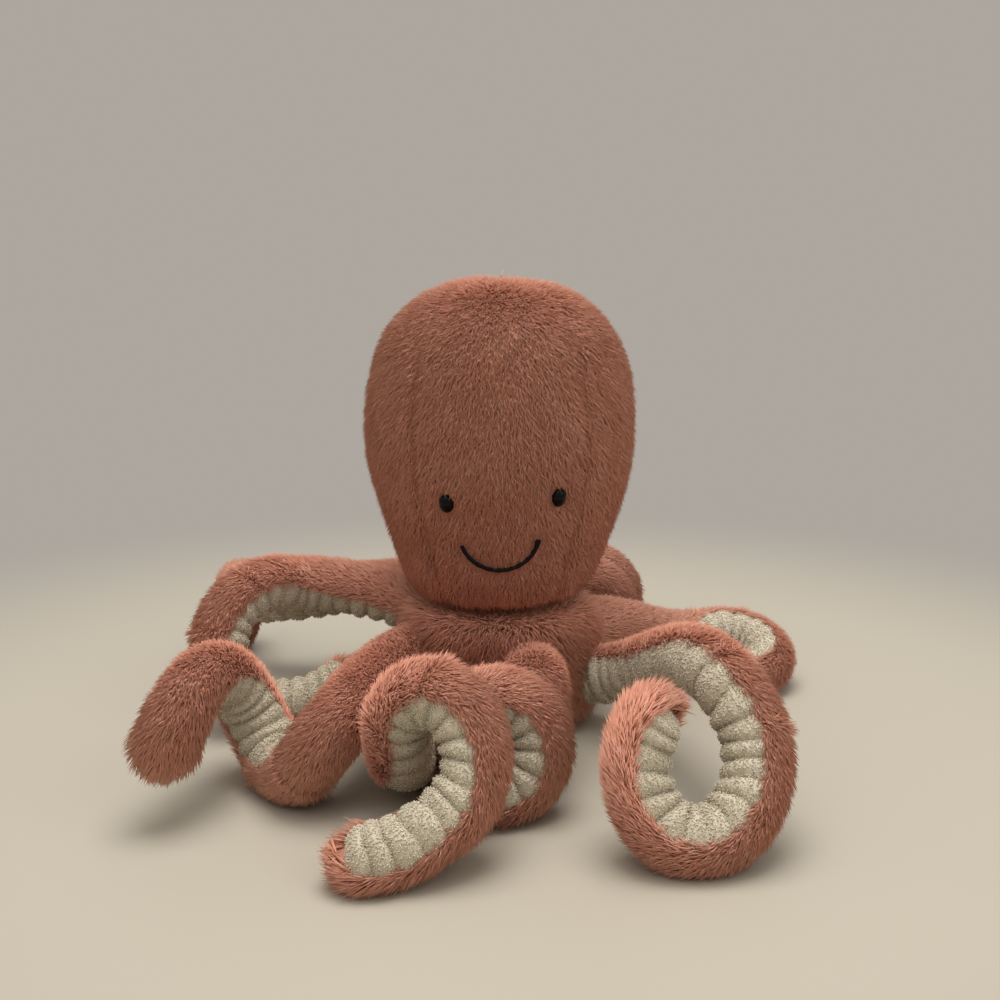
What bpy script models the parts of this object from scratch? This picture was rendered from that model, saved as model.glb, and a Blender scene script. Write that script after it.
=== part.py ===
# Plush octopus: an egg-shaped head on a squat body, with eight curling arms.
# Metres, +Z up, the face looks along -Y. The origin is the middle of the flat underside.
#
# How the real one is made, and how this model follows it:
# - the head is three fur panels over one stuffed filling, with safety eyes and a sewn mouth
# - the body is a fur cover over its filling, with a pouch of beans above the base panel
# - each arm is a stuffed fur sleeve whose gathered, ribbed underside makes it curl
# Left and right are as seen from the front. Each arm is two stuffed lengths, so that
# it can be raised at the body and uncurled at its middle.

import math
from collections import namedtuple

import bmesh
import bpy
import numpy as np
from mathutils import Matrix, Vector

# Cloth and fits
CLOTH = 0.0012
GAP = 0.0003
OVERRUN = 0.02

# Head, measured on the cloth without its fur
HEAD_WIDTH = 0.142
HEAD_HEIGHT = 0.170
CROWN_HEIGHT = 0.245
SEAM_GAP = 0.0004
CROWN_HOLE = 0.0022

# Neck: the head tips on a ball of filling at the neck seam. Slopes are in degrees.
NECK_HEIGHT = 0.070
NECK_BALL_RADIUS = 0.021
NECK_CLEARANCE = 0.0007
NECK_OPENING_CLEARANCE = 0.003
NECK_OPENING_RADIUS = NECK_BALL_RADIUS + NECK_OPENING_CLEARANCE
HEAD_UNDERSIDE_SLOPE = 5
BODY_TOP_SLOPE = 4

# Body
BODY_WIDTH = 0.107
BASE_WIDTH = 0.092
BASE_PANEL_THICKNESS = 0.0016
POUCH_WIDTH = 0.080
POUCH_HEIGHT = 0.016
POUCH_FULLNESS = 0.5

# Eyes: oval plastic beads on a shank, held by a washer behind the cloth
EYE_SPACING = 0.0552
EYE_SHIFT = 0.0013
EYE_LEFT_HEIGHT = 0.134
EYE_RIGHT_HEIGHT = 0.137
EYE_WIDTH = 0.0078
EYE_TALL = 0.0098
EYE_DOME = 0.0030
SHANK_RADIUS = 0.0012
SHANK_LENGTH = 0.0075
SHANK_CLEARANCE = 0.0004
WASHER_RADIUS = 0.0050
WASHER_THICKNESS = 0.0012

# Mouth: one arc of thick thread
MOUTH_WIDTH = 0.037
MOUTH_DEPTH = 0.0148
MOUTH_END_HEIGHT = 0.1136
MOUTH_TILT = 5
MOUTH_THREAD_RADIUS = 0.0009

# Arms, measured on the cloth
ARM_LENGTH = 0.290
ARM_ROOT_RADIUS = 0.0140
ARM_TIP_RADIUS = 0.0125
ARM_SWELL = 0.0005
# An arm is raised about a line this far above its seam with the body
RAISE_PIVOT_RISE = 0.002
CURL_RADIUS = 0.020
RIB_PITCH = 0.0120
RIB_HEIGHT = 0.0013
# No arm curls on past this many turns, and its underside swings round at this power
MOST_TURNS = 2
SWING_POWER = 3
# The floor presses the underside of each arm this flat
PRESSED_FLAT = 0.0005
# Where the underside's flat back crosses the arm, and where the arm parts in two
UNDERSIDE_DEPTH_SHARE = 0.27
PARTING_SHARE = 0.50
# The last of each arm closes in a dome as long as this share of its radius
TIP_DOME_SHARE = 0.75
TIP_DOME_RADIUS_SHARES = (0.90, 0.55)

# Roundness of the meshes
HEAD_STEPS = 28
FRONT_PANEL_STEPS = 6
BODY_STEPS = 28
HEAD_ROWS = 13
BODY_ROWS = 9
SMOOTHING_STEPS = 12
BALL_STEPS = 16
POUCH_STEPS = 20
POUCH_ROWS = 9
EYE_STEPS = 12
DOME_ROWS = 6
SLEEVE_SIDES = 7
RIB_SIDES = 4
THREAD_POINTS = 13
ROUTE_SAMPLES = 600
LEAD_SAMPLES = 200
CREASE_ANGLE = 60
MERGE = 0.00001

# Half outlines: height as a share of the height, radius as a share of half the width
HEAD_OUTLINE_SHARES = (
    (1.000, 0.00),
    (0.975, 0.40),
    (0.915, 0.68),
    (0.800, 0.90),
    (0.640, 0.985),
    (0.480, 1.00),
    (0.330, 0.93),
    (0.160, 0.79),
    (0.060, 0.715),
    (0.015, 0.660),
)
BODY_OUTLINE_SHARES = (
    (0.895, 0.86),
    (0.780, 0.955),
    (0.560, 1.00),
    (0.300, 0.985),
    (0.110, 0.93),
)

# An arm leaves the body at an angle from the front, plus to the right, and then curls
# round an axis that points a heading from the front and a climb above level.
# Places are shares of ARM_LENGTH, radii of CURL_RADIUS, pitches of the arm's thickness
# and root heights of NECK_HEIGHT. A length share tells how far its elastic lets it out.
Arm = namedtuple(
    "Arm",
    "name angle length_share root_share slope yaw underside centre_share heading climb"
    " start sense radius_share tall_share pitch_share roll settle pull_shares opening",
)
# An arm may open as it ends: after some turns, by a share of CURL_RADIUS, as a power
Opening = namedtuple("Opening", "after radius_share power")
STEADY = Opening(0, 0, 1)
DOWN = (0, 0, -1)

ARMS = (
    Arm("front_left", -22.5, 0.925, 0.44, -25, -20, DOWN, (-0.094, -0.485), -3, 5,
        180, -1, 0.92, 1.22, 2.14, 18, 0, (1.42, 0.97), Opening(0.70, 30, 2.0)),
    Arm("front_right", 22.5, 0.84, 0.54, 12, -13, DOWN, (0.002, -0.336), 0, 0,
        6, -1, 0.90, 1.10, 1.10, 20, 0.15, (1.5, 0.9), STEADY),
    Arm("left_front", -67.5, 1.04, 0.66, -15, 6, (-0.1, 0.9, -0.4), (-0.323, -0.367), -80, 0,
        324, -1, 1.2, 1.0, 2.46, 0, 0.2, (1.0, 1.3), STEADY),
    Arm("right_front", 67.5, 1.08, 0.38, 0, 10, (0.0, -1.0, -0.2), (0.295, -0.528), -6, 28,
        40, -1, 1.28, 1.25, 1.28, 20, 0, (1.2, 1.0), STEADY),
    Arm("left_back", -112.5, 0.89, 0.70, 36, 10, DOWN, (-0.464, 0.014), 36, 0,
        75, 1, 1.78, 0.88, 2.14, 20, 0, (1.1, 1.0), STEADY),
    Arm("right_back", 112.5, 0.76, 0.61, 10, 10, (0.0, 0.6, -0.8), (0.493, 0.166), 0, 74,
        110, -1, 1.2, 1.0, 0.0, 25, 0, (1.2, 1.2), STEADY),
    Arm("back_left", -157.5, 0.92, 0.68, 26, 0, DOWN, (-0.593, 0.345), -93, 0,
        80, 1, 0.95, 1.0, 0.86, 0, 0, (1.2, 1.2), STEADY),
    Arm("back_right", 157.5, 0.95, 0.68, 35, 0, DOWN, (0.172, 0.293), 168, 0,
        60, 1, 1.12, 1.0, 1.45, 0, 0, (1.2, 1.2), STEADY),
)


# Scene, materials and objects


def clear_scene():
    for thing in list(bpy.data.objects):
        bpy.data.objects.remove(thing, do_unlink=True)


def new_collection(name):
    collection = bpy.data.collections.new(name)
    bpy.context.scene.collection.children.link(collection)
    return collection


def new_material(name, colour, roughness):
    material = bpy.data.materials.new(name)
    material.use_nodes = True
    shader = material.node_tree.nodes["Principled BSDF"]
    shader.inputs["Base Color"].default_value = (*colour, 1)
    shader.inputs["Roughness"].default_value = roughness
    shader.inputs["Metallic"].default_value = 0
    material.diffuse_color = (*colour, 1)
    return material


clear_scene()
TOY = new_collection("plush_octopus")
CUTTERS = new_collection("cutters")
CORAL_FUR = new_material("coral_fur", (0.44, 0.15, 0.085), 0.95)
CREAM_TERRY = new_material("cream_terry", (0.70, 0.62, 0.44), 0.95)
FILLING = new_material("fibre_filling", (0.85, 0.85, 0.83), 1.0)
POUCH_CLOTH = new_material("pouch_cloth", (0.75, 0.72, 0.66), 0.9)
EYE_PLASTIC = new_material("eye_plastic", (0.008, 0.007, 0.007), 0.12)
WASHER_PLASTIC = new_material("washer_plastic", (0.80, 0.80, 0.78), 0.4)
MOUTH_THREAD = new_material("mouth_thread", (0.010, 0.009, 0.010), 0.7)


def link(thing, material=None, collection=TOY):
    collection.objects.link(thing)
    if collection is CUTTERS:
        thing.hide_render = True
        thing.display_type = "WIRE"
    if material:
        thing.data.materials.append(material)
    return thing


def mesh_object(name, points, faces, material=None, collection=TOY, edges=()):
    mesh = bpy.data.meshes.new(name)
    mesh.from_pydata([tuple(p) for p in points], list(edges), faces)
    mesh.validate()
    return link(bpy.data.objects.new(name, mesh), material, collection)


def cut(thing, cutter):
    boolean = thing.modifiers.new("cut_by_" + cutter.name, "BOOLEAN")
    boolean.operation = "DIFFERENCE"
    boolean.solver = "EXACT"
    boolean.object = cutter


def shade_round(mesh):
    mesh.shade_smooth()
    mesh.set_sharp_from_angle(angle=math.radians(CREASE_ANGLE))


# Profiles: lists of (radius, height), running down the outer side


def smooth_profile(knots, rows):
    """Points at even spacing along a smooth curve through the knots."""
    knots = np.array(knots, float)
    padded = np.vstack([2 * knots[0] - knots[1], knots, 2 * knots[-1] - knots[-2]])
    dense = []
    for i in range(1, len(padded) - 2):
        before, here, there, after = padded[i - 1 : i + 3]
        for t in np.linspace(0, 1, SMOOTHING_STEPS, endpoint=False):
            dense.append(
                0.5
                * (
                    2 * here
                    + (there - before) * t
                    + (2 * before - 5 * here + 4 * there - after) * t**2
                    + (3 * here - before - 3 * there + after) * t**3
                )
            )
    dense.append(knots[-1])
    dense = np.array(dense)
    dense[:, 0] = np.maximum(dense[:, 0], 0)
    return resample(dense, rows)


def distances_along(points):
    steps = np.linalg.norm(np.diff(points, axis=0), axis=1)
    return np.concatenate([[0], np.cumsum(steps)])


def resample(points, count):
    points = np.asarray(points, float)
    along = distances_along(points)
    places = np.linspace(0, along[-1], count)
    return np.column_stack([np.interp(places, along, axis) for axis in points.T])


def inset_profile(profile, distance):
    """The same outline with every edge moved in square to itself by the distance."""
    profile = np.asarray(profile, float)
    run = np.diff(profile, axis=0)
    run /= np.linalg.norm(run, axis=1)[:, None]
    inward = np.column_stack([run[:, 1], -run[:, 0]])
    before = np.vstack([inward[:1], inward])
    after = np.vstack([inward, inward[-1:]])
    corner = (before + after) / (1 + (before * after).sum(axis=1))[:, None]
    moved = profile + distance * corner
    moved[:, 0] = np.maximum(moved[:, 0], 0)
    return moved


def head_outline():
    """The head's side, from the crown down to the corner under the chin."""
    foot = CROWN_HEIGHT - HEAD_HEIGHT
    knots = [
        (radius * HEAD_WIDTH / 2, foot + height * HEAD_HEIGHT)
        for height, radius in HEAD_OUTLINE_SHARES
    ]
    return smooth_profile(knots, HEAD_ROWS)


def body_outline():
    """The body's side, from the corner below the neck down to the base."""
    knots = [
        (radius * BODY_WIDTH / 2, height * NECK_HEIGHT)
        for height, radius in BODY_OUTLINE_SHARES
    ]
    knots.append((BASE_WIDTH / 2 + CLOTH, BASE_PANEL_THICKNESS + GAP))
    return smooth_profile(knots, BODY_ROWS)


def cone_height(radius, slope):
    return NECK_HEIGHT + radius * math.tan(math.radians(slope))


def head_underside(profile, opening):
    """The outline with the shallow cone that turns in under the chin."""
    return [*profile, (opening, cone_height(opening, HEAD_UNDERSIDE_SLOPE))]


def body_top(profile, opening):
    return [(opening, cone_height(opening, -BODY_TOP_SLOPE)), *profile]


def turned(name, profile, material=None, steps=BODY_STEPS, start=0, angle=360, collection=TOY):
    """A profile turned about Z with a Screw modifier, from the azimuth start."""
    heading = math.radians(start)
    points = [(r * math.cos(heading), r * math.sin(heading), z) for r, z in profile]
    edges = [(i, i + 1) for i in range(len(points) - 1)]
    thing = mesh_object(name, points, [], material, collection, edges)
    screw = thing.modifiers.new("turn", "SCREW")
    screw.axis = "Z"
    screw.angle = math.radians(angle)
    screw.steps = steps
    screw.render_steps = steps
    screw.use_merge_vertices = True
    screw.merge_threshold = MERGE
    screw.use_smooth_shade = True
    return thing


def thicken(thing, thickness=CLOTH):
    """Gives a cloth surface its thickness, inwards."""
    solidify = thing.modifiers.new("cloth", "SOLIDIFY")
    solidify.thickness = thickness
    solidify.offset = -1
    solidify.use_even_offset = True


def ball(name, radius, centre, material=None, collection=TOY):
    shape = bmesh.new()
    bmesh.ops.create_uvsphere(shape, u_segments=BALL_STEPS, v_segments=BALL_STEPS // 2, radius=radius)
    bmesh.ops.translate(shape, verts=shape.verts, vec=centre)
    mesh = bpy.data.meshes.new(name)
    shape.to_mesh(mesh)
    shape.free()
    mesh.shade_smooth()
    return link(bpy.data.objects.new(name, mesh), material, collection)


def neck_socket(name):
    """The room for the neck's ball of filling, which turns in it freely."""
    return ball(name, NECK_BALL_RADIUS + NECK_CLEARANCE, (0, 0, NECK_HEIGHT), None, CUTTERS)


# Head


def head_radius_at(height):
    outline = head_outline()[::-1]
    return float(np.interp(height, outline[:, 1], outline[:, 0]))


def face_point(x, height):
    """A place on the front of the head, and the way straight out of it."""
    probe = CLOTH
    radius = head_radius_at(height)
    rise = head_radius_at(height + probe) - head_radius_at(height - probe)
    place = Vector((x, -math.sqrt(radius**2 - x**2), height))
    out = Vector((place.x / radius, place.y / radius, -rise / (2 * probe)))
    return place, out.normalized()


def eye_places():
    left = face_point(EYE_SHIFT - EYE_SPACING / 2, EYE_LEFT_HEIGHT)
    right = face_point(EYE_SHIFT + EYE_SPACING / 2, EYE_RIGHT_HEIGHT)
    return (("left", *left), ("right", *right))


def aim(place, out):
    """The matrix that stands a piece made along +Z on the face."""
    return Matrix.Translation(place) @ out.to_track_quat("Z", "Y").to_matrix().to_4x4()


def make_head():
    outline = head_outline()
    shell = inset_profile(outline, 0)
    shell[0][0] = CROWN_HOLE
    cloth = head_underside(shell, NECK_OPENING_RADIUS)
    seam_angle = math.degrees(SEAM_GAP / (HEAD_WIDTH / 2))
    step_angle = 360 / HEAD_STEPS
    side_steps = (HEAD_STEPS - FRONT_PANEL_STEPS) // 2
    front_start = -90 - FRONT_PANEL_STEPS * step_angle / 2
    panels = (
        ("head_front_panel", front_start, FRONT_PANEL_STEPS),
        ("head_right_panel", front_start + FRONT_PANEL_STEPS * step_angle, side_steps),
        ("head_left_panel", front_start - side_steps * step_angle, side_steps),
    )
    pieces = []
    for name, start, steps in panels:
        angle = steps * step_angle - 2 * seam_angle
        panel = turned(name, cloth, CORAL_FUR, steps, start + seam_angle, angle)
        thicken(panel)
        pieces.append(panel)
    inner = inset_profile(head_underside(outline, NECK_OPENING_RADIUS), CLOTH + GAP)
    inner[0][0] = 0
    middle = (0, inner[-1][1])
    filling = turned("head_filling", [*inner, middle], FILLING, HEAD_STEPS)
    cut(filling, neck_socket("neck_socket_in_head"))
    pieces.append(filling)
    front = pieces[0]
    for side, place, out in eye_places():
        pieces.extend(make_eye(side, place, out, front, filling))
    pieces.append(make_mouth())
    return pieces


def eye_profile():
    """Half the bead and its shank, round the eye's own axis, down its outer side."""
    dome = [
        (EYE_TALL / 2 * math.sin(a), GAP * 2 + EYE_DOME * math.cos(a))
        for a in np.linspace(0, math.pi / 2, DOME_ROWS)
    ]
    dome[0] = (0, dome[0][1])
    neck = (SHANK_RADIUS, GAP * 2)
    end = (SHANK_RADIUS, -SHANK_LENGTH)
    return [*dome, neck, end, (0, -SHANK_LENGTH)]


def applied(thing):
    """Swaps an object's modifiers for the mesh that they make."""
    graph = bpy.context.evaluated_depsgraph_get()
    graph.update()
    mesh = bpy.data.meshes.new_from_object(thing.evaluated_get(graph))
    thing.modifiers.clear()
    thing.data = mesh
    return mesh


def make_eye(side, place, out, front, filling):
    where = aim(place, out)
    bead = turned("eye_" + side, eye_profile(), EYE_PLASTIC, EYE_STEPS)
    mesh = applied(bead)
    narrow = EYE_WIDTH / EYE_TALL
    for vertex in mesh.vertices:
        if vertex.co.z > 0:
            vertex.co.x *= narrow
    mesh.transform(where)
    hole = SHANK_RADIUS + SHANK_CLEARANCE
    washer_top = -CLOTH - GAP * 2
    ring = [
        (hole, washer_top),
        (WASHER_RADIUS, washer_top),
        (WASHER_RADIUS, washer_top - WASHER_THICKNESS),
        (hole, washer_top - WASHER_THICKNESS),
        (hole, washer_top),
    ]
    washer = turned("eye_washer_" + side, ring, WASHER_PLASTIC, EYE_STEPS)
    applied(washer).transform(where)
    hole_profile = [(0, OVERRUN), (hole, OVERRUN), (hole, -OVERRUN), (0, -OVERRUN)]
    drill = turned("eye_hole_" + side, hole_profile, None, EYE_STEPS, collection=CUTTERS)
    applied(drill).transform(where)
    cut(front, drill)
    room = WASHER_RADIUS + SHANK_CLEARANCE
    depth = -SHANK_LENGTH - SHANK_CLEARANCE
    pocket_profile = [(0, OVERRUN), (room, OVERRUN), (room, depth), (0, depth)]
    pocket = turned("eye_pocket_" + side, pocket_profile, None, EYE_STEPS, collection=CUTTERS)
    applied(pocket).transform(where)
    cut(filling, pocket)
    return [bead, washer]


def make_mouth():
    """An arc of thread laid on the face, a little higher at its right end."""
    half = MOUTH_WIDTH / 2
    bend = (half**2 + MOUTH_DEPTH**2) / (2 * MOUTH_DEPTH)
    sweep = math.asin(half / bend)
    tilt = math.radians(MOUTH_TILT)
    curve = bpy.data.curves.new("mouth_thread", "CURVE")
    curve.dimensions = "3D"
    curve.bevel_depth = MOUTH_THREAD_RADIUS
    curve.bevel_resolution = 1
    curve.use_fill_caps = True
    spline = curve.splines.new("POLY")
    spline.points.add(THREAD_POINTS - 1)
    for point, turn in zip(spline.points, np.linspace(-sweep, sweep, THREAD_POINTS)):
        across = bend * math.sin(turn)
        drop = bend * (math.cos(turn) - math.cos(sweep))
        x = across * math.cos(tilt) + drop * math.sin(tilt)
        height = MOUTH_END_HEIGHT + across * math.sin(tilt) - drop * math.cos(tilt)
        place, out = face_point(x, height)
        place += out * (MOUTH_THREAD_RADIUS + GAP)
        point.co = (*place, 1)
    return link(bpy.data.objects.new("mouth_thread", curve), MOUTH_THREAD)


# Body


def make_body():
    outline = body_outline()
    cover = turned("body_cover", body_top(outline, NECK_OPENING_RADIUS), CORAL_FUR, BODY_STEPS)
    thicken(cover)

    panel_edge = BASE_WIDTH / 2 - GAP
    panel_profile = [
        (0, BASE_PANEL_THICKNESS),
        (panel_edge, BASE_PANEL_THICKNESS),
        (panel_edge, 0),
        (0, 0),
    ]
    base = turned("base_panel", panel_profile, CORAL_FUR, BODY_STEPS)

    pouch_low = BASE_PANEL_THICKNESS + GAP
    pouch_middle = pouch_low + POUCH_HEIGHT / 2
    pouch_profile = [
        (POUCH_WIDTH / 2 * math.cos(a) ** POUCH_FULLNESS, pouch_middle + POUCH_HEIGHT / 2 * math.sin(a))
        for a in np.linspace(math.pi / 2, -math.pi / 2, POUCH_ROWS)
    ]
    pouch_profile[0] = (0, pouch_profile[0][1])
    pouch_profile[-1] = (0, pouch_profile[-1][1])
    pouch = turned("bean_pouch", pouch_profile, POUCH_CLOTH, POUCH_STEPS)

    filling_low = pouch_low + POUCH_HEIGHT + GAP
    inner = inset_profile(body_top(outline, NECK_OPENING_RADIUS), CLOTH + GAP)
    side = [(r, z) for r, z in inner if z > filling_low + GAP]
    foot_radius = float(np.interp(filling_low, inner[::-1, 1], inner[::-1, 0]))
    top = (0, inner[0][1])
    foot = [(foot_radius, filling_low), (0, filling_low)]
    filling = turned("body_filling", [top, *side, *foot], FILLING, BODY_STEPS)
    cut(filling, neck_socket("neck_socket_in_body"))
    neck_ball = ball("neck_filling", NECK_BALL_RADIUS, (0, 0, NECK_HEIGHT), FILLING)
    return [cover, base, pouch, filling], neck_ball


# Arms


def unit(vector):
    vector = np.asarray(vector, float)
    return vector / np.linalg.norm(vector)


def outward(angle):
    """The level direction at an angle from the front, plus to the right."""
    turn = math.radians(angle)
    return np.array([math.sin(turn), -math.cos(turn), 0.0])


def arm_radius(along_share):
    """The sleeve tapers from root to tip, and swells a little about its middle."""
    taper = ARM_ROOT_RADIUS + (ARM_TIP_RADIUS - ARM_ROOT_RADIUS) * along_share
    return taper + ARM_SWELL * math.sin(math.pi * along_share)


def curl_point(arm, centre, turns):
    """A place on the arm's curl, and the way that its underside faces."""
    climb = math.radians(arm.climb)
    axis = outward(arm.heading) * math.cos(climb) + np.array([0, 0, math.sin(climb)])
    up = unit(np.array([0, 0, 1]) - axis * axis[2])
    side = np.cross(up, axis)
    turn = math.radians(arm.start) + arm.sense * 2 * math.pi * turns
    opened = max(0, turns - arm.opening.after) ** arm.opening.power * arm.opening.radius_share
    radius = CURL_RADIUS * (arm.radius_share + opened)
    spoke = math.cos(turn) * side + math.sin(turn) * arm.tall_share * up
    along = outward(arm.heading) * arm.pitch_share * 2 * ARM_ROOT_RADIUS * turns
    inward = -(math.cos(turn) * side + math.sin(turn) * up)
    roll = math.radians(arm.roll)
    return centre + along + radius * spoke, inward * math.cos(roll) + axis * math.sin(roll)


def arm_route(arm):
    """Even samples along the arm: places, directions and where the underside faces."""
    length = ARM_LENGTH * arm.length_share
    rest_height = ARM_TIP_RADIUS - PRESSED_FLAT
    level = np.array([*arm.centre_share, 0]) * ARM_LENGTH
    turns = np.linspace(0, MOST_TURNS, ROUTE_SAMPLES)
    # The lowest place of the curl's first whole turn rests on the floor
    lowest = min(curl_point(arm, level, t)[0][2] for t in turns if t <= 1)
    level[2] = rest_height - lowest
    curl = [curl_point(arm, level, t) for t in turns]
    places = np.array([place for place, _ in curl])
    faces = np.array([face for _, face in curl])

    root = outward(arm.angle) * (BODY_WIDTH / 2 - ARM_ROOT_RADIUS)
    root[2] = arm.root_share * NECK_HEIGHT
    slope = math.radians(arm.slope)
    leaving = outward(arm.angle + arm.yaw) * math.cos(slope) + np.array([0, 0, math.sin(slope)])
    arriving = unit(places[1] - places[0])
    span = np.linalg.norm(places[0] - root)
    leave_pull, arrive_pull = (span * share for share in arm.pull_shares)
    # The lead is one cubic from the body to the curl, pulled straight at both ends
    lead = [
        (2 * t**3 - 3 * t**2 + 1) * root
        + (t**3 - 2 * t**2 + t) * leave_pull * leaving
        + (3 * t**2 - 2 * t**3) * places[0]
        + (t**3 - t**2) * arrive_pull * arriving
        for t in np.linspace(0, 1, LEAD_SAMPLES, endpoint=False)
    ]
    faces = np.vstack([[faces[0]] * len(lead), faces])
    places = np.vstack([lead, places])

    # The underside swings round to the inside of the curl as the curl is reached
    along = distances_along(places)
    settled = along[len(lead)] + arm.settle * 2 * math.pi * CURL_RADIUS * arm.radius_share
    ease = np.minimum(along / settled, 1)[:, None] ** SWING_POWER
    faces = unit(arm.underside) * (1 - ease) + faces * ease
    stops = np.linspace(0, length, ROUTE_SAMPLES)
    places = np.column_stack([np.interp(stops, along, axis) for axis in places.T])
    faces = np.column_stack([np.interp(stops, along, axis) for axis in faces.T])
    places[:, 2] = np.maximum(places[:, 2], rest_height)
    return stops, places, faces


class Route:
    """An arm's centre line, read at any distance from its root."""

    def __init__(self, arm):
        self.stops, self.places, self.faces = arm_route(arm)
        self.length = self.stops[-1]
        runs = np.gradient(self.places, axis=0)
        self.runs = runs / np.linalg.norm(runs, axis=1)[:, None]

    def at(self, distance):
        place, run, face = (
            np.array([np.interp(distance, self.stops, axis) for axis in table.T])
            for table in (self.places, self.runs, self.faces)
        )
        run = unit(run)
        face = unit(face - run * face.dot(run))
        return place, run, face, np.cross(run, face)


def ring(route, distance, radius, turns):
    """Points round the arm, each at a turn from the middle of its underside."""
    place, _, face, side = route.at(distance)
    return [place + radius * (math.cos(a) * face + math.sin(a) * side) for a in turns]


def sleeve_section(route, distance, radius):
    """The fur sleeve's D: round the back, and flat where the underside lies."""
    corner = math.acos(UNDERSIDE_DEPTH_SHARE)
    turns = np.linspace(corner, 2 * math.pi - corner, SLEEVE_SIDES + 1)
    return ring(route, distance, radius, turns)


def underside_section(route, distance, radius):
    """The underside's lens: a flat back a gap off the sleeve, and a round front."""
    back = UNDERSIDE_DEPTH_SHARE + GAP / radius
    corner = math.acos(back)
    turns = np.linspace(-corner, corner, RIB_SIDES + 1)
    return ring(route, distance, radius, turns)


def skin(sections):
    """Closes a row of alike sections into one body, each face split the same way."""
    sides = len(sections[0])
    points = [point for section in sections for point in section]
    faces = []
    for row in range(len(sections) - 1):
        for i in range(sides):
            j = (i + 1) % sides
            a, b = row * sides + i, row * sides + j
            c, d = b + sides, a + sides
            faces.extend([(a, b, c), (a, c, d)])
    faces.append(tuple(range(sides))[::-1])
    faces.append(tuple(range(len(points) - sides, len(points))))
    return points, faces


def closed_outward(thing):
    """Turns a mesh's faces outwards."""
    shape = bmesh.new()
    shape.from_mesh(thing.data)
    bmesh.ops.recalc_face_normals(shape, faces=shape.faces)
    shape.to_mesh(thing.data)
    shape.free()
    shade_round(thing.data)


def stations(first, last):
    """Even stops one rib apart, as near as a whole number of ribs allows."""
    count = max(2, round((last - first) / RIB_PITCH))
    return np.linspace(first, last, count + 1)


def sleeve_mesh(name, route, stops, dome):
    """A stuffed length of sleeve, with a rounded end where it is the tip."""
    sections = []
    for near, far in zip(stops[:-1], stops[1:]):
        first = sleeve_section(route, near, arm_radius(near / route.length))
        last = sleeve_section(route, far, arm_radius(far / route.length))
        middle = [(p + q) / 2 for p, q in zip(first, last)]
        # Only the flat's two edges need the middle stop, to match the ribs there
        sections.append((first, middle))
    sections.append((last, None))
    points = []
    faces = []
    sides = len(first)
    rows = []
    for section, middle in sections:
        row = list(range(len(points), len(points) + sides))
        points.extend(section)
        edge = None
        if middle:
            edge = (len(points), len(points) + 1)
            points.extend([middle[0], middle[-1]])
        rows.append((row, edge))
    for (row, edge), (after, _) in zip(rows[:-1], rows[1:]):
        low, high = edge
        for i in range(sides - 1):
            a, b, c, d = row[i], row[i + 1], after[i + 1], after[i]
            if i == 0:
                faces.extend([(a, b, low), (low, b, c), (low, c, d)])
            elif i == sides - 2:
                faces.extend([(a, b, high), (a, high, d), (d, high, c)])
            else:
                faces.extend([(a, b, c), (a, c, d)])
        faces.extend([(row[-1], row[0], high), (row[0], low, high)])
        faces.extend([(high, low, after[-1]), (low, after[0], after[-1])])
    faces.append(tuple(rows[0][0])[::-1])
    end = rows[-1][0]
    if dome:
        radius = arm_radius(1)
        reach = radius * TIP_DOME_SHARE
        count = len(TIP_DOME_RADIUS_SHARES)
        for step, share in enumerate(TIP_DOME_RADIUS_SHARES, 1):
            distance = stops[-1] + reach * step / (count + 1)
            row = list(range(len(points), len(points) + sides))
            points.extend(sleeve_section(route, distance, radius * share))
            for i in range(sides):
                j = (i + 1) % sides
                faces.extend([(end[i], end[j], row[j]), (end[i], row[j], row[i])])
            end = row
    faces.append(tuple(end))
    thing = mesh_object(name, points, faces, CORAL_FUR)
    closed_outward(thing)
    return thing


def ribs_mesh(name, route, stops):
    """The gathered underside: a rib between each two stops."""
    sections = []
    for near, far in zip(stops[:-1], stops[1:]):
        first = underside_section(route, near, arm_radius(near / route.length))
        last = underside_section(route, far, arm_radius(far / route.length))
        _, _, face, _ = route.at((near + far) / 2)
        middle = [(p + q) / 2 for p, q in zip(first, last)]
        crest = [middle[0], *(p + face * RIB_HEIGHT for p in middle[1:-1]), middle[-1]]
        sections.extend([first, crest])
    sections.append(last)
    points, faces = skin(sections)
    thing = mesh_object(name, points, faces, CREAM_TERRY)
    closed_outward(thing)
    return thing


def body_cutter():
    """The body's own outline, grown by the gap, which the arm roots are cut to."""
    grown = inset_profile(body_top(body_outline(), NECK_OPENING_RADIUS), -GAP)[1:]
    above = NECK_HEIGHT + OVERRUN
    top = [(0, above), (grown[0][0], above)]
    foot = [(grown[-1][0], -OVERRUN), (0, -OVERRUN)]
    return turned("body_space", [*top, *grown, *foot], None, BODY_STEPS, collection=CUTTERS)


def floor_cutter():
    reach = ARM_LENGTH * 2
    shape = bmesh.new()
    bmesh.ops.create_cube(shape, size=1)
    bmesh.ops.scale(shape, verts=shape.verts, vec=(reach, reach, OVERRUN))
    bmesh.ops.translate(shape, verts=shape.verts, vec=(0, 0, -OVERRUN / 2))
    mesh = bpy.data.meshes.new("floor_space")
    shape.to_mesh(mesh)
    shape.free()
    return link(bpy.data.objects.new("floor_space", mesh), None, CUTTERS)


def pivot(name, place, parent=None):
    empty = bpy.data.objects.new(name, None)
    empty.empty_display_size = ARM_TIP_RADIUS
    TOY.objects.link(empty)
    if parent:
        empty.parent = parent
        empty.location = Vector(place) - parent.matrix_world.translation
    else:
        empty.location = place
    bpy.context.view_layer.update()
    return empty


def hang(pieces, carrier):
    """Parents pieces to a pivot without moving them."""
    for piece in pieces:
        piece.parent = carrier
        piece.matrix_parent_inverse = carrier.matrix_world.inverted()


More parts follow.
